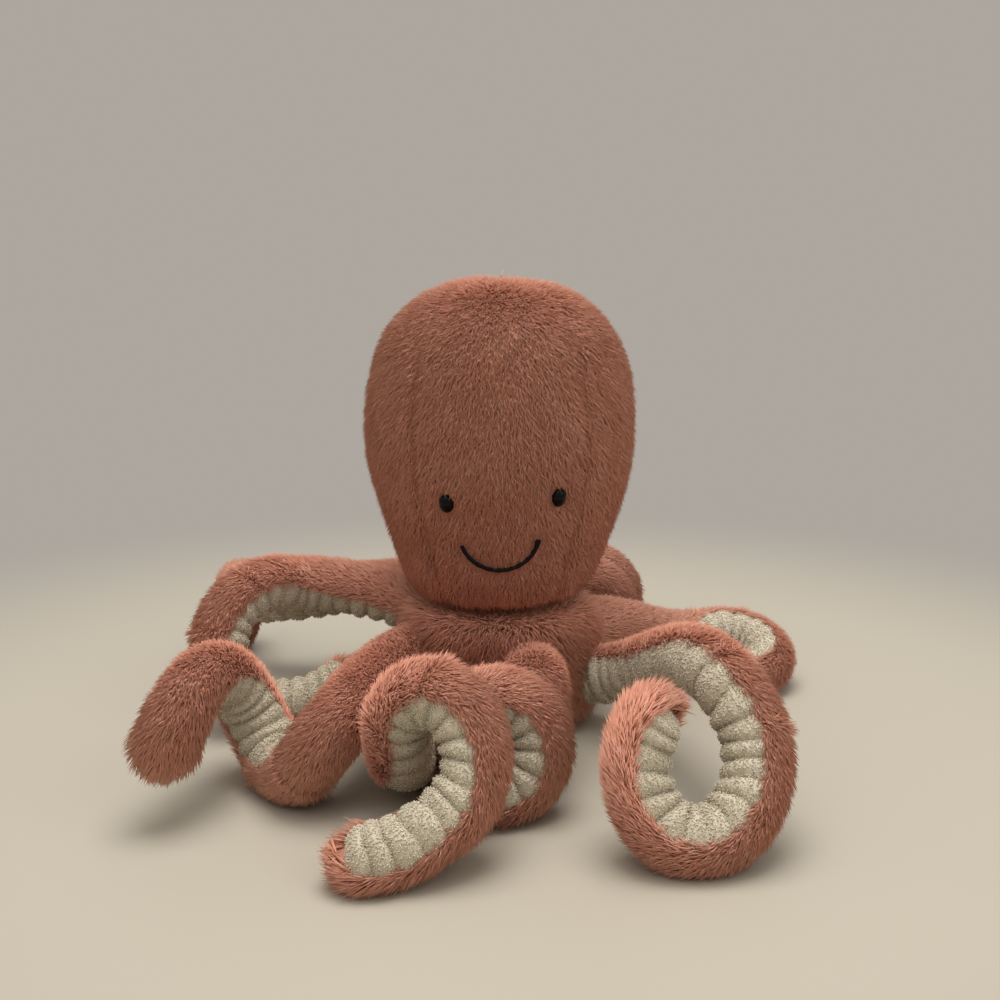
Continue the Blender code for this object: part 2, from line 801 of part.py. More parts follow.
def seam_distance(route):
    """How far along the arm it leaves the body."""
    reach = np.linalg.norm(route.places[:, :2], axis=1)
    return route.stops[np.argmax(reach > BODY_WIDTH / 2)]


def parting_distance(route):
    seam = seam_distance(route)
    return seam + (route.length - seam) * PARTING_SHARE


def arm_pivots(arm, route):
    """Where the arm is raised and where it uncurls, each with its axis."""
    place, run, _, _ = route.at(seam_distance(route))
    out = outward(arm.angle)
    raise_place = out * (BODY_WIDTH / 2 + GAP)
    seam_top = place[2] + ARM_ROOT_RADIUS / math.hypot(run[0], run[1])
    raise_place[2] = seam_top + RAISE_PIVOT_RISE
    parting = parting_distance(route)
    place, run, face, _ = route.at(parting)
    back = place - face * arm_radius(parting / route.length)
    return (raise_place, np.cross(out, (0, 0, 1))), (back, np.cross(face, run))


def make_arm(arm, body_space, floor_space):
    route = Route(arm)
    parting = parting_distance(route)
    tip_end = route.length - ARM_TIP_RADIUS * TIP_DOME_SHARE
    root_stops = stations(0, parting - GAP / 2)
    tip_stops = stations(parting + GAP / 2, tip_end)
    name = "arm_" + arm.name
    root = [
        sleeve_mesh(name + "_root_sleeve", route, root_stops, False),
        ribs_mesh(name + "_root_ribs", route, root_stops),
    ]
    tip = [
        sleeve_mesh(name + "_tip_sleeve", route, tip_stops, True),
        ribs_mesh(name + "_tip_ribs", route, tip_stops),
    ]
    for piece in root:
        cut(piece, body_space)
    for piece in (*root, *tip):
        if min(vertex.co.z for vertex in piece.data.vertices) < 0:
            cut(piece, floor_space)
    (raise_place, raise_axis), (curl_place, curl_axis) = arm_pivots(arm, route)
    raise_pivot = pivot(name + "_raise_pivot", raise_place)
    curl_pivot = pivot(name + "_uncurl_pivot", curl_place, raise_pivot)
    hang(root, raise_pivot)
    hang(tip, curl_pivot)
    print(name, "length", round(route.length, 3))
    print(" raise at", np.round(raise_place, 5), "about", np.round(raise_axis, 5))
    print(" uncurl at", np.round(curl_place, 5), "about", np.round(curl_axis, 5))


def main():
    body_pieces, neck_ball = make_body()
    head_pieces = make_head()
    neck = (0, 0, NECK_HEIGHT)
    lean_pivot = pivot("neck_lean_pivot", neck)
    nod_pivot = pivot("neck_nod_pivot", neck, lean_pivot)
    hang([neck_ball], lean_pivot)
    hang(head_pieces, nod_pivot)
    body_space = body_cutter()
    floor_space = floor_cutter()
    for arm in ARMS:
        make_arm(arm, body_space, floor_space)


main()
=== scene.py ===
# %% [markdown]
# # A plush octopus
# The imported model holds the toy's solids, joints and sizes. This lesson dresses them:
# it grows fur and terry pile on smooth skins, and gives each finish its material.

# %% The frame
import math
from collections import namedtuple

import bmesh
import bpy
import numpy as np
from mathutils import Matrix, Vector, noise


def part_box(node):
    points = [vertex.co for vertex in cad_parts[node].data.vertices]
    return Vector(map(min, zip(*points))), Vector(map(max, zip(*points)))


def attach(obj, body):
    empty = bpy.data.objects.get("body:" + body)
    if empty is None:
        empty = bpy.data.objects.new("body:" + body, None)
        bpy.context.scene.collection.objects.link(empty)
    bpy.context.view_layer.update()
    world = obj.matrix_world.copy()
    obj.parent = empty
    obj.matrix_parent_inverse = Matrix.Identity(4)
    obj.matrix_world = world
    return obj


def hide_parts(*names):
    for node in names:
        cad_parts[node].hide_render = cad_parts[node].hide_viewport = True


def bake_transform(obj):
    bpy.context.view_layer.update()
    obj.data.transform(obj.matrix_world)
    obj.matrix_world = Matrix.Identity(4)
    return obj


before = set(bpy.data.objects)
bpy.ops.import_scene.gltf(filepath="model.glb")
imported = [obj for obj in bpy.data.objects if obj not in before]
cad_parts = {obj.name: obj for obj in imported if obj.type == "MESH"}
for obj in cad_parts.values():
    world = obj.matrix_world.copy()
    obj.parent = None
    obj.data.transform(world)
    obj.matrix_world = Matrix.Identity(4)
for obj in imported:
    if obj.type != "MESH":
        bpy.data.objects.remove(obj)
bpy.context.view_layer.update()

MM = 0.001
UP = np.array([0, 0, 1.0])
SCENE = bpy.context.scene

# %% [markdown]
# ## A short way to write node trees
# Shaders and Geometry Nodes are built the same way: add a node, set its inputs, link it.
# One helper does all three, so that each tree below reads like a list of its nodes.

# %% Node helpers


def add_node(tree, kind, *values, into=None, **settings):
    """Adds a node. Values go to its inputs in order, and those of into by name. Each is a
    plain value or an output to link, and None leaves the input as it is."""
    node = tree.nodes.new(kind)
    for key, value in settings.items():
        setattr(node, key, value)
    pairs = list(zip([s for s in node.inputs if s.enabled], values))
    pairs += [(node.inputs[name], value) for name, value in (into or {}).items()]
    for socket, value in pairs:
        if isinstance(value, bpy.types.NodeSocket):
            tree.links.new(value, socket)
        elif value is not None:
            socket.default_value = value
    return node


def first_out(node):
    return next(s for s in node.outputs if s.enabled)


def out_of(tree, kind, *values, **settings):
    return first_out(add_node(tree, kind, *values, **settings))


def maths(tree, operation, *values):
    return out_of(tree, "ShaderNodeMath", *values, operation=operation)


def vector_maths(tree, operation, *values, **settings):
    return out_of(tree, "ShaderNodeVectorMath", *values, operation=operation, **settings)


def mix_colours(tree, share, low, high):
    return out_of(tree, "ShaderNodeMix", share, low, high, data_type="RGBA")


def new_tree(name, kind, inputs, outputs):
    """An empty group. Each input and output is told by its label and its kind."""
    tree = bpy.data.node_groups.new(name, kind)
    for way, sockets in (("INPUT", inputs), ("OUTPUT", outputs)):
        for label, socket in sockets:
            tree.interface.new_socket(label, in_out=way, socket_type=socket)
    given = tree.nodes.new("NodeGroupInput").outputs
    return tree, given, tree.nodes.new("NodeGroupOutput").inputs


def plain_material(name, colour, roughness, looks=None):
    material = bpy.data.materials.new(name)
    material.use_nodes = True
    shader = material.node_tree.nodes["Principled BSDF"]
    values = {"Base Color": (*colour, 1), "Roughness": roughness, **(looks or {})}
    for label, value in values.items():
        shader.inputs[label].default_value = value
    return material, shader


# %% [markdown]
# ## Camera, floor and light
# The photograph looks slightly down at the toy from a little above its crown. A pale floor
# and three soft lamps show the pile: fur needs light from the side and above, because
# its depth is told by the small shadows between the tufts.

# %% Camera
CAMERA_PLACE = (0, -0.60, 0.23)
CAMERA_TIP = 80
CAMERA_LENS = 38.95
CAMERA_CLIP = 0.01

camera = bpy.data.objects.new("camera", bpy.data.cameras.new("camera"))
camera.location = CAMERA_PLACE
camera.rotation_euler = (math.radians(CAMERA_TIP), 0, 0)
camera.data.lens = CAMERA_LENS
camera.data.clip_start = CAMERA_CLIP
SCENE.collection.objects.link(camera)
SCENE.camera = camera
SCENE.view_settings.view_transform = "Standard"

# %% Floor
FLOOR_SIZE = 8
FLOOR_COLOUR = (0.447, 0.400, 0.315)
FLOOR_ROUGHNESS = 0.6
BACKDROP_COLOUR = (0.42, 0.385, 0.345)
FADE_START = 0.26
FADE_END = 0.65


def show_backdrop(tree, surface, kind, output, fade=None):
    """Shows the camera a plain backdrop in place of a surface, all of it or as it fades.
    Every other ray still meets the surface."""
    share = tree.nodes.new("ShaderNodeLightPath").outputs["Is Camera Ray"]
    if fade is not None:
        share = maths(tree, "MULTIPLY", fade, share)
    plain = out_of(tree, kind, (*BACKDROP_COLOUR, 1))
    mixed = out_of(tree, "ShaderNodeMixShader", share, surface, plain)
    tree.links.new(mixed, tree.nodes[output].inputs["Surface"])


bpy.ops.mesh.primitive_plane_add(size=FLOOR_SIZE)
floor = bpy.context.object
floor.name = "floor"
floor_material, floor_shader = plain_material("floor", FLOOR_COLOUR, FLOOR_ROUGHNESS)
floor.data.materials.append(floor_material)

tree = floor_material.node_tree
where = tree.nodes.new("ShaderNodeTexCoord").outputs["Object"]
distance = add_node(tree, "ShaderNodeVectorMath", where, operation="LENGTH").outputs["Value"]
fade = out_of(
    tree, "ShaderNodeMapRange", distance, FADE_START, FADE_END, interpolation_type="SMOOTHSTEP"
)
surface = floor_shader.outputs["BSDF"]
show_backdrop(tree, surface, "ShaderNodeEmission", "Material Output", fade)
print("the floor fades into the backdrop", FADE_START, "to", FADE_END, "m from the toy")

# %% Lamps and sky
LAMPS = (
    ("key", (-0.45, -0.95, 1.55), 1.2, 7),
    ("fill", (1.1, -0.9, 1.0), 1.2, 4.5),
    ("top", (0.05, 0.0, 1.7), 1.1, 24),
)
SKY_COLOUR = (1, 0.98, 0.95)
SKY_STRENGTH = 0.46
AIM = Vector((0, -0.03, 0.09))

for name, place, size, power in LAMPS:
    lamp = bpy.data.objects.new(name, bpy.data.lights.new(name, "AREA"))
    lamp.data.size = size
    lamp.data.energy = power
    lamp.location = place
    lamp.rotation_euler = (AIM - Vector(place)).to_track_quat("-Z", "Y").to_euler()
    SCENE.collection.objects.link(lamp)

world = bpy.data.worlds.new("sky")
SCENE.world = world
world.use_nodes = True
sky = world.node_tree.nodes["Background"]
sky.inputs["Color"].default_value = (*SKY_COLOUR, 1)
sky.inputs["Strength"].default_value = SKY_STRENGTH
show_backdrop(world.node_tree, sky.outputs[0], "ShaderNodeBackground", "World Output")
print(len(LAMPS), "lamps and a pale sky")

# %% [markdown]
# ## The colour of pile
# Fur and terry are thousands of strands, each a little lighter or darker than the next,
# and darker towards the root, which is painted shade where they stand close. Every strand
# carries that in its UV map: across is its own tone, and up is how far it is from its
# root. One group turns the two into colour, and both cloths use it with their own colours.

# %% Pile group
PILE_MAP = "OFBake"
PILE_ROUGHNESS = 0.85
SHEEN_ROUGHNESS = 0.5
SHADED_RISE = 0.8

inputs = [(label, "NodeSocketColor") for label in ("Dark", "Middle", "Light")]
inputs.append(("Root shade", "NodeSocketFloat"))
outputs = [("Color", "NodeSocketColor")]
tree, given, result = new_tree("pile_colour", "ShaderNodeTree", inputs, outputs)
place = out_of(tree, "ShaderNodeUVMap", uv_map=PILE_MAP)
tone, rise, _ = add_node(tree, "ShaderNodeSeparateXYZ", place).outputs
low = out_of(tree, "ShaderNodeClamp", maths(tree, "MULTIPLY", tone, 2.0))
high = out_of(tree, "ShaderNodeClamp", maths(tree, "MULTIPLY_ADD", tone, 2.0, -1.0))
darker = mix_colours(tree, low, given["Dark"], given["Middle"])
mixed = mix_colours(tree, high, darker, given["Light"])
# Painted shade: each strand's colour darkens towards its root, where the strands stand close
shade = out_of(tree, "ShaderNodeMapRange", rise, 0.0, SHADED_RISE, given["Root shade"], 1.0)
lit = vector_maths(tree, "SCALE", mixed, into={"Scale": shade})
tree.links.new(lit, result["Color"])
PILE_COLOUR = tree


def pile_material(name, dark, middle, light, root_shade, sheen):
    looks = {
        "Sheen Weight": sheen,
        "Sheen Roughness": SHEEN_ROUGHNESS,
        "Sheen Tint": (*light, 1),
        "Specular IOR Level": 0.2,
    }
    material, shader = plain_material(name, middle, PILE_ROUGHNESS, looks)
    tree = material.node_tree
    colours = {"Dark": (*dark, 1), "Middle": (*middle, 1), "Light": (*light, 1)}
    given = {**colours, "Root shade": root_shade}
    group = add_node(tree, "ShaderNodeGroup", into=given, node_tree=PILE_COLOUR)
    tree.links.new(group.outputs["Color"], shader.inputs["Base Color"])
    return material


CORAL_FUR = pile_material(
    "coral_fur", (0.60, 0.242, 0.150), (0.73, 0.332, 0.220), (0.84, 0.460, 0.335), 0.78, 0.4
)
CREAM_TERRY = pile_material(
    "cream_terry", (0.63, 0.540, 0.392), (0.745, 0.66, 0.50), (0.85, 0.78, 0.635), 0.8, 0.25
)
print("pile materials:", CORAL_FUR.name, CREAM_TERRY.name)

# %% [markdown]
# ## Growing pile with Geometry Nodes
# Hair curves would be the usual way, but hair isn't a mesh and couldn't be printed or
# exported. So each tuft is a tiny three-sided spike, and Geometry Nodes scatter thousands
# on a skin. The skin's own attributes steer them: comb is the way the pile lies, cover
# tells where it grows and long how long it is.

# %% The pile tree
PILE_MEASURES = (
    "Tufts per square metre", "Length", "Root radius", "Lean", "Unruly",
    "Clumping", "Clump size", "Tone range",
)
PILE_INPUTS = (
    ("Geometry", "NodeSocketGeometry"),
    *((label, "NodeSocketFloat") for label in PILE_MEASURES),
    ("Seed", "NodeSocketInt"),
    ("Material", "NodeSocketMaterial"),
)
PATCHES = 55
TUFT_SIZES = (0.75, 1.25)
TONE_ENDS = (0.02, 0.98)


def random_between(tree, low, high, seed, shift=0):
    """A random number for each tuft. Each shift of the seed gives other ones."""
    if shift:
        seed = maths(tree, "ADD", seed, float(shift))
    kind = "FunctionNodeRandomValue"
    return out_of(tree, kind, low, high, into={"Seed": seed}, data_type="FLOAT")


def named(tree, name, kind="FLOAT"):
    return out_of(tree, "GeometryNodeInputNamedAttribute", name, data_type=kind)


def stored(tree, geometry, name, value, domain="POINT", kind="FLOAT"):
    node = "GeometryNodeStoreNamedAttribute"
    given = {"Geometry": geometry, "Name": name, "Value": value}
    return out_of(tree, node, into=given, data_type=kind, domain=domain)


def tuft(tree, given):
    """One spike on its root, which knows how high and how far round each corner is."""
    sizes = {"Radius Top": 0, "Radius Bottom": given["Root radius"], "Depth": given["Length"]}
    cone = out_of(tree, "GeometryNodeMeshCone", 3, into=sizes, fill_type="NGON")
    place = out_of(tree, "GeometryNodeInputPosition")
    x, _, z = add_node(tree, "ShaderNodeSeparateXYZ", place).outputs
    rise = maths(tree, "DIVIDE", z, given["Length"])
    across = maths(tree, "DIVIDE", x, given["Root radius"])
    shape = stored(tree, cone, "rise", rise)
    return stored(tree, shape, "across", across)


def tuft_turns(tree, given, normal, place):
    """How each tuft lies: upright on the skin, turned with the comb, then leaned over."""
    # Neighbours lean the same way, because the clump noise changes slowly
    frequency = maths(tree, "DIVIDE", 1.0, given["Clump size"])
    waves = add_node(
        tree, "ShaderNodeTexNoise", into={"Vector": place, "Scale": frequency, "Detail": 1}
    )
    drift = vector_maths(tree, "SUBTRACT", waves.outputs["Color"], (0.5, 0.5, 0.5))
    pull = vector_maths(tree, "SCALE", drift, into={"Scale": given["Clumping"]})
    comb = vector_maths(tree, "ADD", named(tree, "comb", "FLOAT_VECTOR"), pull)

    align = "FunctionNodeAlignRotationToVector"
    upright = out_of(tree, align, into={"Vector": normal}, axis="Z")
    lie = {"Rotation": upright, "Vector": comb}
    combed = out_of(tree, align, into=lie, axis="X", pivot_axis="Z")
    seed, unruly = given["Seed"], given["Unruly"]
    tame = maths(tree, "MULTIPLY", unruly, -1.0)
    tilt = maths(tree, "ADD", given["Lean"], random_between(tree, tame, unruly, seed))
    stray = maths(tree, "MULTIPLY", unruly, 2.0)
    turn = random_between(tree, maths(tree, "MULTIPLY", stray, -1.0), stray, seed, 17)
    angles = out_of(tree, "ShaderNodeCombineXYZ", 0.0, tilt, turn)
    lean = out_of(tree, "FunctionNodeEulerToRotation", angles)
    both = {"Rotation": combed, "Rotate By": lean}
    return out_of(tree, "FunctionNodeRotateRotation", into=both, rotation_space="LOCAL")


tree, given, result = new_tree("pile", "GeometryNodeTree", PILE_INPUTS, PILE_INPUTS[:1])
skin, seed = given["Geometry"], given["Seed"]
place = out_of(tree, "GeometryNodeInputPosition")
density = maths(tree, "MULTIPLY", given["Tufts per square metre"], named(tree, "cover"))
sowing = {"Mesh": skin, "Density": density, "Seed": seed}
spots = add_node(tree, "GeometryNodeDistributePointsOnFaces", into=sowing).outputs
size = random_between(tree, *TUFT_SIZES, seed, 5)
planting = {
    "Points": spots["Points"],
    "Instance": tuft(tree, given),
    "Rotation": tuft_turns(tree, given, spots["Normal"], place),
    "Scale": maths(tree, "MULTIPLY", size, named(tree, "long")),
}
tufts = out_of(tree, "GeometryNodeInstanceOnPoints", into=planting)

# A tuft's tone is half its own and half that of the patch that it stands in
own = random_between(tree, -0.5, 0.5, seed, 29)
patch = out_of(tree, "ShaderNodeTexNoise", into={"Vector": place, "Scale": PATCHES})
shared = maths(tree, "SUBTRACT", patch, 0.5)
spread = maths(tree, "MULTIPLY", maths(tree, "ADD", own, shared), given["Tone range"])
tone = out_of(tree, "ShaderNodeClamp", maths(tree, "ADD", spread, 0.5), *TONE_ENDS)
tufts = stored(tree, tufts, "tone", tone, "INSTANCE")
tufts = out_of(tree, "GeometryNodeRealizeInstances", tufts)
across = maths(tree, "MULTIPLY_ADD", named(tree, "across"), 0.01, named(tree, "tone"))
rise = maths(tree, "MULTIPLY_ADD", named(tree, "rise"), 0.92, 0.06)
where = out_of(tree, "ShaderNodeCombineXYZ", across, rise, 0.0)
tufts = stored(tree, tufts, PILE_MAP, where, "CORNER", "FLOAT2")

# The skin between the tufts is as dark as their roots, with the same painted shade
x, y, z = add_node(tree, "ShaderNodeSeparateXYZ", place).outputs
wide = maths(tree, "ADD", maths(tree, "ADD", x, y), 0.45)
low = maths(tree, "MULTIPLY_ADD", z, 0.1, 0.01)
flat = out_of(tree, "ShaderNodeCombineXYZ", wide, low, 0.0)
skin = stored(tree, skin, PILE_MAP, flat, "CORNER", "FLOAT2")
both = tree.nodes.new("GeometryNodeJoinGeometry")
tree.links.new(skin, both.inputs[0])
tree.links.new(tufts, both.inputs[0])
smooth = out_of(tree, "GeometryNodeSetShadeSmooth", into={"Geometry": first_out(both)})
paint = {"Geometry": smooth, "Material": given["Material"]}
tree.links.new(out_of(tree, "GeometryNodeSetMaterial", into=paint), result["Geometry"])
PILE = tree
print("the pile tree has", len(PILE.nodes), "nodes")

# %% Grow pile on a skin
FLOOR_GAP = 0.3 * MM
triangle_counts = {}


def triangles_of(mesh):
    return sum(len(face.vertices) - 2 for face in mesh.polygons)


def plain_mesh(thing):
    """Swaps an object's modifiers for the mesh that they make."""
    graph = bpy.context.evaluated_depsgraph_get()
    graph.update()
    mesh = bpy.data.meshes.new_from_object(thing.evaluated_get(graph))
    thing.modifiers.clear()
    thing.data = mesh
    return mesh


def places_of(mesh):
    places = np.empty(len(mesh.vertices) * 3, np.float32)
    mesh.vertices.foreach_get("co", places)
    return places


def grow_pile(skin, material, **values):
    modifier = skin.modifiers.new("pile", "NODES")
    modifier.node_group = PILE
    items = PILE.interface.items_tree
    sockets = {item.name: item.identifier for item in items if item.in_out == "INPUT"}
    modifier[sockets["Material"]] = material
    for name, value in values.items():
        modifier[sockets[name.replace("_", " ").capitalize()]] = value
    mesh = plain_mesh(skin)
    for name in ("comb", "cover", "long", "rise", "across", "tone"):
        layer = mesh.attributes.get(name)
        if layer:
            mesh.attributes.remove(layer)
    places = places_of(mesh)
    places[2::3] = np.maximum(places[2::3], FLOOR_GAP)
    mesh.vertices.foreach_set("co", places)
    mesh.update()
    triangle_counts[skin.name] = triangles_of(mesh)


# %% [markdown]
# ## Skins
# Head, body and arms are all stacks of rings, so one function turns rows of points into a
# closed skin. It stores the comb direction with them, which is from each row to the next:
# down the head and along the arms.

# %% Skin from rows
LID_SHARE = 0.9


def link_new(name, data, material=None):
    """Puts a mesh or a curve in the scene as a new object."""
    thing = bpy.data.objects.new(name, data)
    SCENE.collection.objects.link(thing)
    if material:
        data.materials.append(material)
    return thing


def put_attribute(mesh, name, kind, values):
    layer = mesh.attributes.new(name, kind, "POINT")
    label = "vector" if kind == "FLOAT_VECTOR" else "value"
    layer.data.foreach_set(label, np.asarray(values, np.float32).ravel())


def unit_ways(ways):
    return ways / np.maximum(np.linalg.norm(ways, axis=2), 1e-9)[..., None]


def rows_skin(name, rows, cover, long=1.0, comb=None, wraps=True):
    """A skin through rows of points, closed round. With wraps off it stays open, and its
    rows run down while their points go round to the right, so that it faces outwards."""
    rows = np.asarray(rows, float)
    if comb is None:
        comb = np.gradient(rows, axis=0)
    cover = np.broadcast_to(cover, rows.shape[:2])
    long = np.broadcast_to(long, rows.shape[:2])
    if wraps:
        # A bare ring just inside each end keeps tufts off the lids
        ends = (rows[0], rows[-1])
        rims = [row.mean(axis=0) * (1 - LID_SHARE) + row * LID_SHARE for row in ends]
        rows = np.concatenate([rims[:1], rows, rims[1:]])
        comb = np.concatenate([comb[:1], comb, comb[-1:]])
        cover = np.concatenate([cover[:1] * 0, cover, cover[-1:] * 0])
        long = np.concatenate([long[:1], long, long[-1:]])
    count, across = rows.shape[:2]
    faces = []
    for i in range(count - 1):
        for j in range(across if wraps else across - 1):
            k = (j + 1) % across
            a, b = i * across + j, i * across + k
            faces.append((a, b, b + across, a + across))
    if wraps:
        faces.append(tuple(range(across))[::-1])
        faces.append(tuple(range((count - 1) * across, count * across)))
    mesh = bpy.data.meshes.new(name)
    mesh.from_pydata(rows.reshape(-1, 3).tolist(), [], faces)
    put_attribute(mesh, "comb", "FLOAT_VECTOR", unit_ways(comb))
    put_attribute(mesh, "cover", "FLOAT", cover)
    put_attribute(mesh, "long", "FLOAT", long)
    if wraps:
        shape = bmesh.new()
        shape.from_mesh(mesh)
        bmesh.ops.recalc_face_normals(shape, faces=shape.faces)
        shape.to_mesh(mesh)
        shape.free()
    else:
        mesh.flip_normals()
    mesh.shade_smooth()
    return link_new(name, mesh)


def lumps(rows, size, depth):
    """Slow, repeatable unevenness, as stuffing shows through cloth."""
    shifts = [[noise.noise(Vector(place) / size) for place in row] for row in rows]
    return np.array(shifts)[..., None] * depth


def stand_in(thing, body, slot, node, fill=None):
    """Attaches a piece to its body and hides the solid that it covers. Its slot and how full it is
    padded are not used.
    """
    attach(thing, body)
    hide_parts(node)


# %% [markdown]
# ## The arms' routes
# Each arm leaves the body, bends over in one cubic and then curls round an axis of its own,
# like a spring that may open as it ends. The solids follow these same routes, so the same
# values are repeated here. Left and right are as seen from the front.

# %% Arm values
ARM_LENGTH = 0.290
ARM_ROOT_RADIUS = 0.0140
ARM_TIP_RADIUS = 0.0125
ARM_SWELL = 0.0005
CURL_RADIUS = 0.020
PRESSED_FLAT = 0.0005
PARTING_SHARE = 0.50
MOST_TURNS = 2
SWING_POWER = 3
BODY_WIDTH = 0.107
NECK_HEIGHT = 0.070
ROUTE_SAMPLES = 600
LEAD_SAMPLES = 200

Opening = namedtuple("Opening", "after radius_share power")
Arm = namedtuple(
    "Arm",
    "name angle length_share root_share slope yaw underside centre_share heading climb"
    " start sense radius_share tall_share pitch_share roll settle pull_shares opening",
    defaults=[Opening(0, 0, 1)],
)
DOWN = (0, 0, -1)

ARMS = (
    Arm("front_left", -22.5, 0.925, 0.44, -25, -20, DOWN, (-0.094, -0.485), -3, 5,
        180, -1, 0.92, 1.22, 2.14, 18, 0, (1.42, 0.97), Opening(0.70, 30, 2.0)),
    Arm("front_right", 22.5, 0.84, 0.54, 12, -13, DOWN, (0.002, -0.336), 0, 0,
        6, -1, 0.90, 1.10, 1.10, 20, 0.15, (1.5, 0.9)),
    Arm("left_front", -67.5, 1.04, 0.66, -15, 6, (-0.1, 0.9, -0.4), (-0.323, -0.367), -80, 0,
        324, -1, 1.2, 1.0, 2.46, 0, 0.2, (1.0, 1.3)),
    Arm("right_front", 67.5, 1.08, 0.38, 0, 10, (0.0, -1.0, -0.2), (0.295, -0.528), -6, 28,
        40, -1, 1.28, 1.25, 1.28, 20, 0, (1.2, 1.0)),
    Arm("left_back", -112.5, 0.89, 0.70, 36, 10, DOWN, (-0.464, 0.014), 36, 0,
        75, 1, 1.78, 0.88, 2.14, 20, 0, (1.1, 1.0)),
    Arm("right_back", 112.5, 0.76, 0.61, 10, 10, (0.0, 0.6, -0.8), (0.493, 0.166), 0, 74,
        110, -1, 1.2, 1.0, 0.0, 25, 0, (1.2, 1.2)),
    Arm("back_left", -157.5, 0.92, 0.68, 26, 0, DOWN, (-0.593, 0.345), -93, 0,
        80, 1, 0.95, 1.0, 0.86, 0, 0, (1.2, 1.2)),
    Arm("back_right", 157.5, 0.95, 0.68, 35, 0, DOWN, (0.172, 0.293), 168, 0,
        60, 1, 1.12, 1.0, 1.45, 0, 0, (1.2, 1.2)),
)

# %% Arm routes


def unit(vector):
    vector = np.asarray(vector, float)
    return vector / np.linalg.norm(vector)


def outward(angle):
    """The level direction at an angle from the front, plus to the right."""
    turn = math.radians(angle)
    return np.array([math.sin(turn), -math.cos(turn), 0.0])


def arm_radius(along_share):
    taper = ARM_ROOT_RADIUS + (ARM_TIP_RADIUS - ARM_ROOT_RADIUS) * along_share
    return taper + ARM_SWELL * math.sin(math.pi * along_share)


def curl_point(arm, centre, turns):
    """A place on the arm's curl, and the way that its underside faces."""
    climb = math.radians(arm.climb)
    axis = outward(arm.heading) * math.cos(climb) + UP * math.sin(climb)
    up = unit(UP - axis * axis[2])
    side = np.cross(up, axis)
    turn = math.radians(arm.start) + arm.sense * 2 * math.pi * turns
    opened = max(0, turns - arm.opening.after) ** arm.opening.power * arm.opening.radius_share
    radius = CURL_RADIUS * (arm.radius_share + opened)
    spoke = math.cos(turn) * side + math.sin(turn) * arm.tall_share * up
    along = outward(arm.heading) * arm.pitch_share * 2 * ARM_ROOT_RADIUS * turns
    inward = -(math.cos(turn) * side + math.sin(turn) * up)
    roll = math.radians(arm.roll)
    return centre + along + radius * spoke, inward * math.cos(roll) + axis * math.sin(roll)


def even_steps(first, last, step):
    return np.linspace(first, last, round((last - first) / step) + 1)


def distances_along(points):
    steps = np.linalg.norm(np.diff(points, axis=0), axis=1)
    return np.concatenate([[0], np.cumsum(steps)])


def arm_route(arm):
    """Even samples along the arm: distances, places and where the underside faces."""
    length = ARM_LENGTH * arm.length_share
    rest_height = ARM_TIP_RADIUS - PRESSED_FLAT
    level = np.array([*arm.centre_share, 0]) * ARM_LENGTH
    turns = np.linspace(0, MOST_TURNS, ROUTE_SAMPLES)
    lowest = min(curl_point(arm, level, t)[0][2] for t in turns if t <= 1)
    level[2] = rest_height - lowest
    curl = [curl_point(arm, level, t) for t in turns]
    places = np.array([place for place, _ in curl])
    faces = np.array([face for _, face in curl])

    root = outward(arm.angle) * (BODY_WIDTH / 2 - ARM_ROOT_RADIUS)
    root[2] = arm.root_share * NECK_HEIGHT
    slope = math.radians(arm.slope)
    leaving = outward(arm.angle + arm.yaw) * math.cos(slope) + UP * math.sin(slope)
    arriving = unit(places[1] - places[0])
    span = np.linalg.norm(places[0] - root)
    leave_pull, arrive_pull = (span * share for share in arm.pull_shares)
    lead = [
        (2 * t**3 - 3 * t**2 + 1) * root
        + (t**3 - 2 * t**2 + t) * leave_pull * leaving
        + (3 * t**2 - 2 * t**3) * places[0]
        + (t**3 - t**2) * arrive_pull * arriving
        for t in np.linspace(0, 1, LEAD_SAMPLES, endpoint=False)
    ]
    faces = np.vstack([[faces[0]] * len(lead), faces])
    places = np.vstack([lead, places])

    along = distances_along(places)
    settled = along[len(lead)] + arm.settle * 2 * math.pi * CURL_RADIUS * arm.radius_share
    ease = np.minimum(along / settled, 1)[:, None] ** SWING_POWER
    faces = unit(arm.underside) * (1 - ease) + faces * ease
    stops = np.linspace(0, length, ROUTE_SAMPLES)
    places = np.column_stack([np.interp(stops, along, axis) for axis in places.T])
    faces = np.column_stack([np.interp(stops, along, axis) for axis in faces.T])
    places[:, 2] = np.maximum(places[:, 2], rest_height)
    return stops, places, faces


class Route:
    """An arm's centre line, read at any distance from its root."""

    def __init__(self, arm):
        self.stops, self.places, self.faces = arm_route(arm)
        self.length = self.stops[-1]
        runs = np.gradient(self.places, axis=0)
        self.runs = runs / np.linalg.norm(runs, axis=1)[:, None]
        reach = np.linalg.norm(self.places[:, :2], axis=1)
        self.seam = self.stops[np.argmax(reach > BODY_WIDTH / 2)]
        self.parting = self.seam + (self.length - self.seam) * PARTING_SHARE

    def at(self, distance):
        place, run, face = (
            np.array([np.interp(distance, self.stops, axis) for axis in table.T])
            for table in (self.places, self.runs, self.faces)
        )
        run = unit(run)
        face = unit(face - run * face.dot(run))
        return place, run, face, np.cross(run, face)


ROUTES = {arm.name: Route(arm) for arm in ARMS}
print("arm lengths", {name: round(route.length, 3) for name, route in ROUTES.items()})
